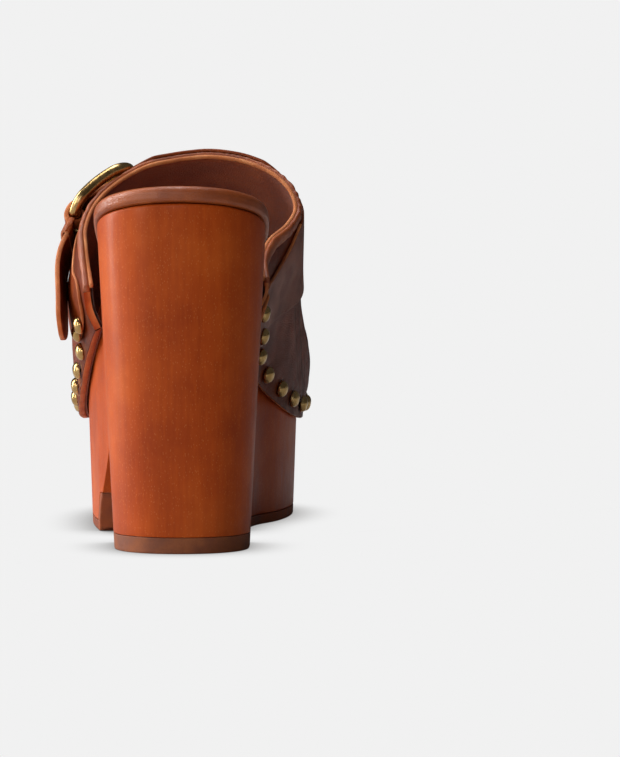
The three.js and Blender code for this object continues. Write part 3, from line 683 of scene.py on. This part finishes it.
def goldLook():
    material, tree, shader = newMaterial("gold plate")
    marks = applied(tree, "scuffs", Scale=1.6)
    worn = applied(tree, "wear", Amount=0.7)["Wear"]
    golds = [(0.3, tone(176, 138, 84)), (0.55, tone(204, 168, 110)), (0.8, tone(226, 198, 146))]
    base = ramp(tree, marks["Smudge"], golds)
    base = blendColour(tree, maths(tree, "MULTIPLY", marks["Marks"], 0.35), base, tone(140, 98, 48))
    base = blendColour(tree, worn, base, tone(246, 220, 164))
    link(tree, base, shader.inputs["Base Color"])
    shader.inputs["Metallic"].default_value = 1.0
    link(tree, remap(tree, marks["Smudge"], 0.3, 0.75, 0.2, 0.36), shader.inputs["Roughness"])
    bumped(tree, shader, marks["Smudge"], 0.3, 0.0004)
    return material


goldPlate = goldLook()
print("materials ready")

archLine = spline([
    [54, 6.3], [55, 25], [57, 41], [60.5, 48], [65, 50], [70, 48], [77, 40], [85, 27.5], [92, 16.3],
])(np.linspace(0, 1, 90))
lipFace = lambda z: 100 - 3 * (z / 16) - 5 * (z / 16) ** 2
seamLip = [[lipFace(z) + 4, z] for z in (16, 14, 12, 10, 8)] + [[107, 4]]
seamYs = np.array([p[0] for p in seamLip] + [112.0, 300.0])
seamZs = np.array([p[1] for p in seamLip] + [4.0, 4.0])
seam = lambda y: np.interp(y, seamYs, seamZs) + np.where(y > 107, tread(y), 0)


def woodLow(y):
    ys = np.concatenate([[-5], archLine[:, 0]])
    zs = np.concatenate([[6.3], archLine[:, 1]])
    return np.where(y < 92, np.interp(y, ys, zs), np.where(y < 96.3, 16.3, seam(y - 0.3) + 0.3))


soleBreaks = np.concatenate([
    archLine[::3, 0], [53.4, 53.8, 54.2, 54.6], seamYs[:-2], [91.9, 92.1, 96.2, 96.5],
])
loop, outward = soleLoop(0, soleSize["length"], soleBreaks)
woodenSole = puck("wood_block", loop, outward, woodLow, footbed, 0.35, 1.4, stainedWood)
settle(woodenSole, "clog", "wood", "wooden_sole")

lipHeights = [16 * share for share in (1, 0.85, 0.7, 0.5, 0.3, 0.2, 0.1)]
outsoleBack = np.array([[lipFace(z), z] for z in lipHeights] + [[103, 0]])


def outsoleLow(y):
    return np.interp(y, outsoleBack[:, 0], outsoleBack[:, 1]) + np.where(y > 103, tread(y), 0)


loop, outward = soleLoop(92.05, soleSize["length"], np.concatenate([outsoleBack[:, 0], seamYs[:-2]]))
outsole = puck(
    "outsole_pad", loop, outward, outsoleLow, lambda y: np.maximum(seam(y), outsoleLow(y) + 0.3), 0.7, 0.4,
    outsoleRubber, span=(105, 205), levels=10,
)
settle(outsole, "clog", "outsole_rubber", "platform_outsole")

loop, outward = soleLoop(0, 53.4)
topPiece = puck(
    "heel_lift", loop, outward, lambda y: 0 * y, lambda y: 0 * y + 6.15, 0.6, 0.25, heelRubber,
    span=(24, 32), levels=10,
)
settle(topPiece, "clog", "heel_rubber", "heel_top_piece")
print("sole ready")

insole = {"low": 0.3, "high": 6.7, "rim": 3.3, "under": 1.5, "sink": 1.0, "from": 4.5, "to": 7.5}


def insoleOffset(points):
    start = np.where(points[:, 0] > 0, 42, 58)
    return 1.2 - 3.4 * smooth(points[:, 1], start, start + 13)


loop, outward = soleLoop(0, soleSize["length"], offset=insoleOffset)
cover = puck(
    "insole_pad", loop, outward, lambda y: footbed(y) + insole["low"], lambda y: footbed(y) + insole["high"],
    insole["under"], insole["rim"], insoleLeather,
    dip=lambda inset: -insole["sink"] * smooth(inset, insole["from"], insole["to"]),
)
settle(cover, "clog", "insole_leather", "insole_cover", "insole_cushion")
print("insole ready")

studs = {"radius": 3.6, "dome": 2.6, "seat": 0.5, "inset": 5.8}
edgeSteps = np.linspace(0, 1, 201)
edgeLine = rowCurves[0](edgeSteps)
edgeLengths = np.concatenate([[0], np.cumsum(np.linalg.norm(np.diff(edgeLine, axis=0), axis=1))])
studPlaces = []
for tau, s in ((0.05, 0.14), (0.068, 0.12)):
    studPlaces.append((tau, s, layers["chapeHigh"]))
for k in range(22):
    share = 0.075 + 0.88 * k / 21
    tau = float(np.interp(share * edgeLengths[-1], edgeLengths, edgeSteps))
    layer = "strapHigh" if share > 0.9 else "vampHigh"
    studPlaces.append((tau, float(fromEdge(tau, studs["inset"])), layers[layer]))
studSeats = []
for tau, s, lift in studPlaces:
    point, normal, up = upper(tau, s)
    studSeats.append((point + normal * (lift * thin(point) + studs["seat"] * 0.4), normal, up))
seatPoints = np.array([seat[0] for seat in studSeats])

vamp = {
    "along": 460, "up": 130, "dimple": 0.7, "dimpleReach": 4.6, "slack": 0.28, "edge": 0.45, "crease": 0.5,
}


def nailDimples(points):
    away = np.linalg.norm(points[..., None, :] - seatPoints, axis=-1).min(-1)
    return vamp["dimple"] * np.exp(-((away / vamp["dimpleReach"]) ** 2))


def creases(points):  # soft folds where the foot bends
    y, z = points[..., 1], points[..., 2]
    along = y * 0.8 + z * 0.6
    band = np.exp(-(((along - 172) / 14) ** 2))
    return -vamp["crease"] * band * (0.5 + 0.5 * np.sin(along * 1.1 + 1.6 * np.sin(points[..., 0] * 0.09)))


taus = np.linspace(0, 1, vamp["along"])[:, None]
top = fromThroat(taus[:, 0], 2.4)[:, None]
share = np.linspace(0, 1, vamp["up"])[None]
rowsUp = share**1.15 * top
point, normal, up = upper(taus, rowsUp)
lift = layers["vampHigh"] * thin(point) - nailDimples(point + normal * layers["vampHigh"])
lift = lift + creases(point) + vamp["slack"] * ripple(point, 34, 5) + 0.1 * ripple(point, 11, 8)
outerSheet = point + normal * lift[..., None]
edge = vamp["edge"]
down = -up[:, 0]
rim = [
    outerSheet[:, 0] + down * edge * math.sin(a) - normal[:, 0] * edge * (1 - math.cos(a))
    for a in np.linspace(0, math.pi / 2, 4)[1:]
]
under = point[:, 0] + normal[:, 0] * layers["vampLow"]
rim = [under, under + down * edge, *rim[::-1]]
sheet = np.concatenate([np.stack(rim, 1), outerSheet], 1)
faces = gridFaces(sheet.shape[0], sheet.shape[1])
slots = np.where(np.arange(len(faces)) % (sheet.shape[1] - 1) < 3, 1, 0)
points = sheet.reshape(-1, 3)
count, wide = sheet.shape[:2]
extra = []
for i in (0, count - 1):  # the two back edges are closed down to the lining
    base = len(points)
    points = np.concatenate([points, point[i] + normal[i] * layers["vampLow"]])
    for j in range(vamp["up"] - 1):
        a, b = i * wide + len(rim) + j, i * wide + len(rim) + j + 1
        extra.append([a, b, base + j + 1, base + j])
slots = np.concatenate([slots, np.ones(len(extra), dtype=int)])
vampPiece = makeMesh("vamp_body", points, list(faces) + extra, [upperLeather, cutEdge], slots)
settle(vampPiece, "clog", "upper_leather", "vamp_leather", "toe_stiffener")

rowsUp = np.linspace(0, 1, 90)[None] + 0 * taus
point, normal, up = upper(taus, rowsUp)
uneven = 0.25 * ripple(point, 26, 12)[..., None] * smooth(1 - rowsUp, 0, 0.2)[..., None]
inside = point + normal * (uneven + 0.15)
outside = point + normal * layers["lining"]
closed = np.concatenate([inside, outside[:, ::-1]], 1)
faces = gridFaces(closed.shape[0], closed.shape[1], closeCols=True)
liningPiece = makeMesh("lining_body", closed.reshape(-1, 3), faces, liningLeather)
settle(facingOut(liningPiece), "clog", "lining_leather", "vamp_lining")
print("upper ready")


binding = {"steps": 900, "half": 1.55, "deep": 2.5, "off": 2.65, "low": -1.7, "pucker": 0.1, "around": 20}
tau = np.linspace(0, 1, binding["steps"])
point, normal, up = upper(tau, 1.0)
folds = np.sin(np.cumsum(0.32 + 0.1 * np.sin(tau * 61) + 0.06 * np.sin(tau * 133)))
onInner, onOuter = np.exp(-(((tau - 0.72) / 0.1) ** 2)), np.exp(-(((tau - 0.2) / 0.06) ** 2))
folded = binding["pucker"] * (0.25 + 0.75 * onInner + 0.5 * onOuter)
close = thin(point)[:, None]
middle = point + normal * binding["off"] * (0.25 + 0.75 * close) + up * (binding["low"] - 2.2 * (1 - close))
turns = turnsRound(binding["around"])
rings = []
for turn in turns:
    c, s = math.cos(turn), math.sin(turn)
    wide = binding["half"] * np.sign(c) * abs(c) ** 0.8 * (0.45 + 0.55 * close)
    tall = binding["deep"] * np.sign(s) * abs(s) ** 0.8
    swell = 1 + (folds * folded * max(0.0, c + 0.4))[:, None]
    rings.append(middle + (normal * wide + up * tall) * swell)
bindingPiece = sweepMesh("binding_roll", np.stack(rings, 1), bindingLeather)
settle(bindingPiece, "clog", "upper_leather", "topline_binding")

bead = {"radius": 0.85, "off": 0.5, "high": 0.35}
centre = point + normal * bead["off"] + up * (bead["high"] - 3.0 * (1 - close))
rings = [centre + bead["radius"] * (normal * math.cos(t) + up * 1.15 * math.sin(t)) for t in turns[::2]]
settle(sweepMesh("lining_bead", np.stack(rings, 1), cutEdge), "clog", "lining_leather")
print("binding ready")

strapInner = [
    [58, 92], [75, 98], [88, 104], [98, 113], [108, 127], [117, 140], [125, 175], [156, 175], [151.5, 141],
    [150.5, 132], [147, 115], [140, 98], [122, 89], [105, 84.5], [85, 76], [58, 80],
]
strapOuter = [
    [125, 175], [120, 150], [115, 141], [112.8, 134.4], [132, 123.6], [138.5, 129], [144.5, 134],
    [149.5, 138], [151.5, 141], [156, 175],
]
chapeOuter = [
    [113, 131.2], [109.5, 126.5], [105, 120], [99, 111], [92, 105], [83, 101.5], [80, 94], [84, 86], [94, 79],
    [106, 77], [116, 81], [121, 90], [123, 98], [125, 108], [127, 116], [129.6, 121.8],
]


def insideBy(outline, points):  # depth inside a side-view outline, negative outside
    line = spline(outline, closed=True)(np.linspace(0, 1, len(outline) * 10, endpoint=False))
    a, b = line, np.roll(line, -1, 0)
    flat = points[..., 1:].reshape(-1, 2)
    best = np.full(len(flat), 1e9)
    crossings = np.zeros(len(flat), dtype=bool)
    for p, q in zip(a, b):
        span = q - p
        t = np.clip(((flat - p) @ span) / max(span @ span, 1e-9), 0, 1)
        best = np.minimum(best, np.linalg.norm(flat - p - t[:, None] * span, axis=1))
        if p[1] != q[1]:
            straddles = (p[1] > flat[:, 1]) != (q[1] > flat[:, 1])
            crossing = p[0] + (q[0] - p[0]) * (flat[:, 1] - p[1]) / (q[1] - p[1])
            crossings ^= straddles & (flat[:, 0] < crossing)
    return np.where(crossings, best, -best).reshape(points.shape[:-1])


def cutSheet(taus, heights, depth):  # the grid's faces where depth is over 0, cut at 0
    rows, cols = depth.shape
    inside = depth > 0
    corners, places, faces = {}, [], []

    def corner(key, place):
        if key not in corners:
            corners[key] = len(places)
            places.append(place)
        return corners[key]

    for i in range(rows - 1):
        for j in range(cols - 1):
            square = [(i, j), (i, j + 1), (i + 1, j + 1), (i + 1, j)]
            if not any(inside[c] for c in square):
                continue
            face = []
            for a, b in zip(square, square[1:] + square[:1]):
                if inside[a]:
                    face.append(corner(a, a))
                if inside[a] != inside[b]:
                    t = depth[a] / (depth[a] - depth[b])
                    t = min(max(t, 0.02), 0.98)
                    place = (a[0] + (b[0] - a[0]) * t, a[1] + (b[1] - a[1]) * t)
                    face.append(corner((min(a, b), max(a, b)), place))
            if len(face) > 2:
                faces.append(face)
    places = np.array(places)
    row = np.interp(places[:, 0], np.arange(rows), taus)
    height = np.interp(places[:, 1], np.arange(cols), heights)
    return row, height, faces


def rimLoops(faces):
    following = {}
    seen = set()
    for face in faces:
        for a, b in zip(face, face[1:] + face[:1]):
            seen.add((a, b))
    for a, b in seen:
        if (b, a) not in seen:
            following[a] = b
    loops = []
    while following:
        start, here = next(iter(following.items()))
        chain = [start]
        del following[start]
        while here in following:
            chain.append(here)
            here = following.pop(here)
        loops.append(chain)
    return loops


def strapSheet(name, look, materials):  # a leather band with a rounded cut edge
    taus, heights = np.linspace(*look["taus"]), np.linspace(*look["heights"])
    point, normal, _ = upper(taus[:, None], heights[None])
    depth = look["depth"](point + normal * look["high"])
    row, height, faces = cutSheet(taus, heights, depth)
    loops = rimLoops(faces)
    for chain in loops:
        for _ in range(6):
            for values in (row, height):
                ring = values[chain]
                values[chain] = 0.5 * ring + 0.25 * (np.roll(ring, 1) + np.roll(ring, -1))
    point, normal, _ = upper(row, height)
    swell = look["swell"](point) if "swell" in look else 0 * point[:, 0]
    close = thin(point)
    high = look["high"] * close + swell - nailDimples(point + normal * look["high"])
    points = [point + normal * high[:, None]]
    allFaces, slots = [list(face) for face in faces], [0] * len(faces)
    total = len(points[0])
    radius = look["edge"]
    for chain in loops:
        base, out = points[0][chain], normal[chain]
        ahead = np.roll(base, -1, 0) - np.roll(base, 1, 0)
        side = np.cross(ahead, out)
        side /= np.maximum(np.linalg.norm(side, axis=1, keepdims=True), 1e-9)
        thick = (high[chain] - look["low"] * close[chain])[:, None]
        previous = list(chain)
        rings = [(radius * math.sin(a), radius * (1 - math.cos(a))) for a in (0.5, 1.05, math.pi / 2)]
        pale = point[chain][:, 2] < look.get("paleBelow", 1000)
        for number, (reach, sunk) in enumerate(rings + [(radius, None), (0, None)]):
            drop = thick - (radius if number == 3 else 0) if sunk is None else sunk
            points.append(base + side * reach - out * drop)
            following = list(range(total, total + len(chain)))
            total += len(chain)
            for k in range(len(chain)):
                n = (k + 1) % len(chain)
                allFaces.append([previous[k], following[k], following[n], previous[n]])
                slots.append(1 if number and pale[k] else 0)
            previous = following
    return makeMesh(name, np.concatenate(points), allFaces, materials, slots)


def strapDepth(points):
    inner, outer = insideBy(strapInner, points), insideBy(strapOuter, points)
    part = smooth(points[..., 0], 2, 9)
    return outer * (1 - part) + inner * part


strapPiece = strapSheet("instep_band", {
    "taus": (0.12, 0.985, 420), "heights": (0.0, 1.0, 170), "low": layers["strapLow"],
    "high": layers["strapHigh"], "edge": 0.5, "depth": strapDepth, "paleBelow": 125,
    "swell": lambda points: 0.16 * ripple(points, 30, 21),
}, [strapLeather, cutEdge])
settle(strapPiece, "clog", "strap_leather", "instep_strap")

chapePiece = strapSheet("chape_leather", {
    "taus": (0.0, 0.34, 230), "heights": (0.0, 1.0, 190), "low": layers["strapLow"],
    "high": layers["chapeHigh"], "edge": 0.4,
    "depth": lambda points: np.where(points[..., 0] < 0, insideBy(chapeOuter, points), -5),
}, [strapLeather, cutEdge])
settle(chapePiece, "clog", "strap_leather", "buckle_chape")
print("straps ready")

buckle = {
    "length": 31, "width": 35, "bar": 5.2, "thick": 4.4, "closer": 1.9, "hinge": 1.5, "prong": 1.3,
    "end": 22, "tail": 1.8, "curve": 44, "twist": 0.0035, "straight": 36, "keeper": 6,
}
seatPoint, seatNormal, _ = upper(0.235, 0.9)
towardsBack = np.array([0, -0.86, 0.51])
towardsBack = unit(towardsBack - seatNormal * (towardsBack @ seatNormal))
downStrap = np.cross(towardsBack, seatNormal)


def onBuckle(a, c, o):  # a down the strap, c across it to the back, o off the upper
    o = np.asarray(o, float) - buckle["closer"]
    a, c, o = (v[..., None] for v in np.broadcast_arrays(*(np.asarray(v, float) for v in (a, c, o))))
    bent = np.minimum(a, buckle["straight"])
    turn = bent / buckle["curve"]
    radial = seatNormal * np.cos(turn) + downStrap * np.sin(turn)
    tangent = downStrap * np.cos(turn) - seatNormal * np.sin(turn)
    return (
        seatPoint - seatNormal * buckle["curve"] + radial * (buckle["curve"] + o + buckle["twist"] * bent * c)
        + tangent * (a - bent) + towardsBack * c
    )


frameLow = layers["strapHigh"] + 0.3
frameMiddle = frameLow + buckle["thick"] / 2
barA = buckle["length"] / 2 - buckle["bar"] / 2
barO = layers["chapeHigh"] + 0.6 + buckle["hinge"]
halfA, halfC = barA, buckle["width"] / 2 - buckle["bar"] / 2


def roundedPath(halfLength, halfWidth, corner, perCorner, perSide):
    path = []
    centres = ((1, 1, 0), (-1, 1, 90), (-1, -1, 180), (1, -1, 270))
    for number, (sideA, sideC, start) in enumerate(centres):
        for k in range(perCorner + 1):
            turn = math.radians(start + 90 * k / perCorner)
            path.append([sideA * (halfLength - corner) + corner * math.cos(turn),
                         sideC * (halfWidth - corner) + corner * math.sin(turn)])
        nextA, nextC, nextStart = centres[(number + 1) % 4]
        turn = math.radians(nextStart)
        goal = np.array([nextA * (halfLength - corner) + corner * math.cos(turn),
                         nextC * (halfWidth - corner) + corner * math.sin(turn)])
        here = np.array(path[-1])
        path += [list(here + (goal - here) * k / perSide) for k in range(1, perSide)]
    return np.array(path)


path = roundedPath(halfA, halfC, 6.5, 14, 16)
ahead = unit(np.roll(path, -1, 0) - np.roll(path, 1, 0))
onBar = smooth(path[:, 0], halfA - 2.6, halfA - 0.4)
onBar = onBar * (1 - smooth(np.abs(path[:, 1]), halfC - 6.5, halfC - 4))
turns = turnsRound(28)
rings = []
for turn in turns:
    c, s = math.cos(turn), math.sin(turn)
    wide = (buckle["bar"] / 2 * (1 - onBar) + buckle["hinge"] * onBar) * np.sign(c) * abs(c) ** 0.85
    tall = (buckle["thick"] / 2 * (1 - onBar) + buckle["hinge"] * onBar) * np.sign(s) * abs(s) ** 0.85
    middle = frameMiddle * (1 - onBar) + barO * onBar
    rings.append(onBuckle(path[:, 0] + wide * ahead[:, 1], path[:, 1] - wide * ahead[:, 0], middle + tall))
framePiece = sweepMesh("gold_frame", np.stack(rings, 1), goldPlate, closed=True)
settle(framePiece, "buckle", "gold_metal", "buckle_frame")

eyeInner = buckle["hinge"] + 0.3
eyeOuter = eyeInner + 1.2
overStrap = frameLow + buckle["thick"] + 0.3 + buckle["prong"]
prongLine = spline([
    [barA - eyeInner - 0.6, barO], [8, barO + 0.2], [4, barO + 1.4], [-2, overStrap - 0.9], [-9, overStrap],
    [-16, overStrap + 0.3],
])
steps = np.linspace(0, 1, 60)
line = prongLine(steps)
along = unit(np.gradient(line, axis=0))
radius = buckle["prong"] * np.sqrt(np.clip((1.02 - steps) / 0.1, 0.02, 1)) * (1 - 0.12 * steps)
rings = []
for turn in turns[::2]:
    off, side = radius * math.cos(turn), radius * 1.15 * math.sin(turn)
    rings.append(onBuckle(line[:, 0] - along[:, 1] * off, side, line[:, 1] + along[:, 0] * off))
prongPiece = sweepMesh("gold_prong", np.stack(rings, 1), goldPlate)
settle(prongPiece, "prong", "gold_metal", "buckle_prong")


def eyePiece(name, low, high, body, material, slot):  # a rolled loop round the hinge bar
    turns = turnsRound(40)
    section = [(eyeOuter, low + 0.4), (eyeOuter, high - 0.4), (eyeOuter - 0.3, high), (eyeInner + 0.2, high),
               (eyeInner, high - 0.3), (eyeInner, low + 0.3), (eyeInner + 0.2, low), (eyeOuter - 0.3, low)]
    rings = [[onBuckle(barA + r * math.cos(t), c, barO + r * math.sin(t)) for r, c in section] for t in turns]
    return settle(sweepMesh(name, np.array(rings), material, closed=True), body, slot)


eyePiece("prong_loop", -1.8, 1.8, "prong", goldPlate, "gold_metal")
eyePiece("chape_loop_front", -9.3, -2.3, "clog", strapLeather, "strap_leather")
eyePiece("chape_loop_back", 2.3, 9.3, "clog", strapLeather, "strap_leather")


def leatherRibbon(name, line, thick, half, body, replaced, tip=0.0):  # a strip with rounded cut edges
    curve = spline(line)
    steps = np.linspace(0, 1, 120)
    place = curve(steps)
    along = unit(np.gradient(place, axis=0))
    reach = np.concatenate([[0], np.cumsum(np.linalg.norm(np.diff(place, axis=0), axis=1))])
    left = reach[-1] - reach
    widths = half * np.ones(len(steps))
    if tip:
        widths = half * (1 - (1 - np.clip(left / tip, 0.0, 1)) ** 2.2 * 0.75)
    r = 0.45
    arcs = [(math.cos(t), math.sin(t)) for t in np.linspace(-math.pi / 2, math.pi / 2, 7)]
    outline = [(1, r * c, (thick / 2 - r) * np.sign(s) + r * s if abs(s) > 0.01 else 0) for c, s in arcs]
    across = np.linspace(1, -1, 14)[1:-1]
    ring = outline + [(k, 0, thick / 2) for k in across]
    ring += [(-w, -e, o) for w, e, o in reversed(outline)]
    ring += [(k, 0, -thick / 2) for k in across[::-1]]
    rings = []
    for w, e, off in ring:
        c = w * (widths - r) + e
        rings.append(onBuckle(place[:, 0] - along[:, 1] * off, c, place[:, 1] + along[:, 0] * off))
    rounded = len(outline) - 1
    opposite = len(outline) + len(across)
    slotsOf = [1 if k < rounded or opposite <= k < opposite + rounded else 0 for k in range(len(ring))]
    piece = sweepMesh(name, np.stack(rings, 1), [strapLeather, cutEdge], slotsOf=slotsOf)
    return settle(piece, body, "strap_leather", replaced)


keeperA = barA + buckle["hinge"] + 1.4
tailUnder = layers["chapeHigh"] + 1.1
tailMiddle = tailUnder + buckle["tail"] / 2
overBar = barO + eyeOuter + 0.3 + buckle["tail"] / 2
leatherRibbon("end_leather", [
    [-16, 5.4], [-9, 5.9], [-1, 7.2], [6, 9.0], [barA - 2.4, overBar - 0.1], [barA, overBar],
    [barA + 2.4, overBar - 0.9], [keeperA + 2, tailMiddle + 0.2],
    [keeperA + buckle["keeper"], tailMiddle],
], buckle["tail"], buckle["end"] / 2, "clog", "strap_end")
tailStart = keeperA + buckle["keeper"] + 0.6
leatherRibbon("tail_leather", [
    [tailStart, tailMiddle], [tailStart + 5, tailMiddle + 0.7], [tailStart + 15, tailMiddle + 1.0],
    [tailStart + 27, tailMiddle + 0.9], [tailStart + 39.5, tailMiddle + 1.2],
], buckle["tail"] + 0.1, buckle["end"] / 2 - 0.5, "tail", "strap_tail", tip=9)

keeperHalf = buckle["end"] / 2 + 0.3
low, high = layers["chapeHigh"] + 1.3, tailUnder + buckle["tail"] + 0.3
corners = [[low, keeperHalf + 0.65], [high - 1, keeperHalf + 0.65], [high + 0.65, keeperHalf - 1.2],
           [high + 0.65, -keeperHalf + 1.2], [high - 1, -keeperHalf - 0.65], [low, -keeperHalf - 0.65]]
bandLine = spline(corners)(np.linspace(0, 1, 90))
bandAlong = unit(np.gradient(bandLine, axis=0))
half = buckle["keeper"] / 2
section = [
    (-half, -0.3), (-half + 0.3, -0.6), (half - 0.3, -0.6), (half, -0.3), (half, 0.3), (half - 0.3, 0.6),
    (-half + 0.3, 0.6), (-half, 0.3),
]
rings = []
for a, off in section:
    across, raised = bandLine[:, 1] + bandAlong[:, 0] * off, bandLine[:, 0] - bandAlong[:, 1] * off
    rings.append(onBuckle(keeperA + half + a, across, raised))
paleEdges = [0, 0, 0, 1, 0, 0, 0, 1]
keeperPiece = sweepMesh("keeper_band", np.stack(rings, 1), [strapLeather, cutEdge], slotsOf=paleEdges)
settle(keeperPiece, "clog", "strap_leather", "keeper_loop")
print("buckle ready")

domeTurns = np.linspace(0, math.pi / 2, 12)
radius = studs["radius"]
for number, (at, normal, up) in enumerate(studSeats):
    sideways = np.cross(up, normal)
    profile = [(radius * 0.2, -2.0), (radius * 0.2, -0.05), (radius * 0.94, -0.05)]
    profile += [(radius * math.cos(t) ** 0.75, studs["dome"] * math.sin(t)) for t in domeTurns[:-1]]
    profile.append((0.12, studs["dome"]))
    ways = [up * math.cos(t) + sideways * math.sin(t) for t in turnsRound(36)]
    rings = [[at + normal * (h - 0.25) + r * way for way in ways] for r, h in profile]
    nail = sweepMesh("nail_%02d" % (number + 1), np.array(rings), goldPlate)
    settle(nail, "clog", "gold_metal", "stud_%02d" % (number + 1))
print("nails ready")

# shade is the tone of the painted contact shadow on the floor, and reach is how far that shadow spreads
studio = {"pale": tone(241, 241, 241), "shade": tone(70, 62, 56), "reach": 0.024, "floorHalf": 40.0}


def paperLook():  # shows the camera one pale tone, with a painted contact shadow only where the clog stands on it
    material, tree, shader = newMaterial("studio paper", Roughness=0.9)
    fibres = noise(tree, whereIn(tree), 300, 4)
    bare = ramp(tree, fibres, [(0.3, (0.46, 0.46, 0.46)), (0.7, (0.5, 0.5, 0.5))])
    link(tree, bare, shader.inputs["Base Color"])
    # painted contact shadow: ambient occlusion fades the camera's view of the floor from the pale tone to the
    # shade tone close to the clog
    contactShadowAO = node(tree, "AmbientOcclusion", {"Distance": studio["reach"]}, samples=24)
    unshadowedShare = contactShadowAO.outputs["AO"]
    seen = blendColour(tree, remap(tree, unshadowedShare, 0.0, 1.0), studio["shade"], studio["pale"])
    glow = node(tree, "Emission", {"Color": seen, "Strength": 1.0})
    toEye = node(tree, "LightPath").outputs["Is Camera Ray"]
    shaders = {0: toEye, 1: shader.outputs["BSDF"], 2: glow.outputs["Emission"]}
    mixed = node(tree, "MixShader", shaders)
    link(tree, mixed.outputs["Shader"], tree.nodes["Material Output"].inputs["Surface"])
    return material


half = studio["floorHalf"]
mesh = bpy.data.meshes.new("backdrop")
mesh.from_pydata([(-half, -half, 0), (half, -half, 0), (half, half, 0), (-half, half, 0)], [], [[0, 1, 2, 3]])
mesh.materials.append(paperLook())
floor = bpy.data.objects.new("backdrop", mesh)
bpy.context.scene.collection.objects.link(floor)


def softbox(name, location, target, size, power):
    data = bpy.data.lights.new(name, "AREA")
    data.shape = "RECTANGLE"
    data.size, data.size_y = size
    data.energy = power
    lamp = bpy.data.objects.new(name, data)
    lamp.location = location
    way = np.array(target, float) - np.array(location, float)
    lamp.rotation_euler = Vector(way).to_track_quat("-Z", "Y").to_euler()
    bpy.context.scene.collection.objects.link(lamp)
    return lamp


softbox("left box", (-1.2, -1.1, 0.55), (0, 0.03, 0.08), (0.5, 1.0), 8.6)
softbox("rim box", (-1.0, 0.25, 0.5), (0, 0.0, 0.09), (0.4, 1.2), 17)
softbox("front box", (-0.25, -1.8, 0.5), (0, 0.03, 0.08), (0.5, 0.5), 3.8)
softbox("top box", (-0.15, 0.1, 1.4), (0, 0.06, 0.06), (0.5, 0.5), 9)
world = bpy.data.worlds.new("studio")
bpy.context.scene.world = world
world.use_nodes = True
tree = world.node_tree
toEye = node(tree, "LightPath").outputs["Is Camera Ray"]
background = tree.nodes["Background"]
link(tree, blendColour(tree, toEye, (0.07, 0.07, 0.072), studio["pale"]), background.inputs["Color"])

cameraData = bpy.data.cameras.new("camera")
cameraData.lens, cameraData.sensor_width = 176.4, 36
cameraData.dof.use_dof = False
cameraData.clip_start, cameraData.clip_end = 0.05, 30
camera = bpy.data.objects.new("camera", cameraData)
camera.location = (0.0496, -1.429, 0.137)
camera.rotation_euler = (math.radians(90 - 2.86), 0, 0)
bpy.context.scene.collection.objects.link(camera)
bpy.context.scene.camera = camera
bpy.context.scene.view_settings.view_transform = "Standard"

bpy.context.view_layer.update()
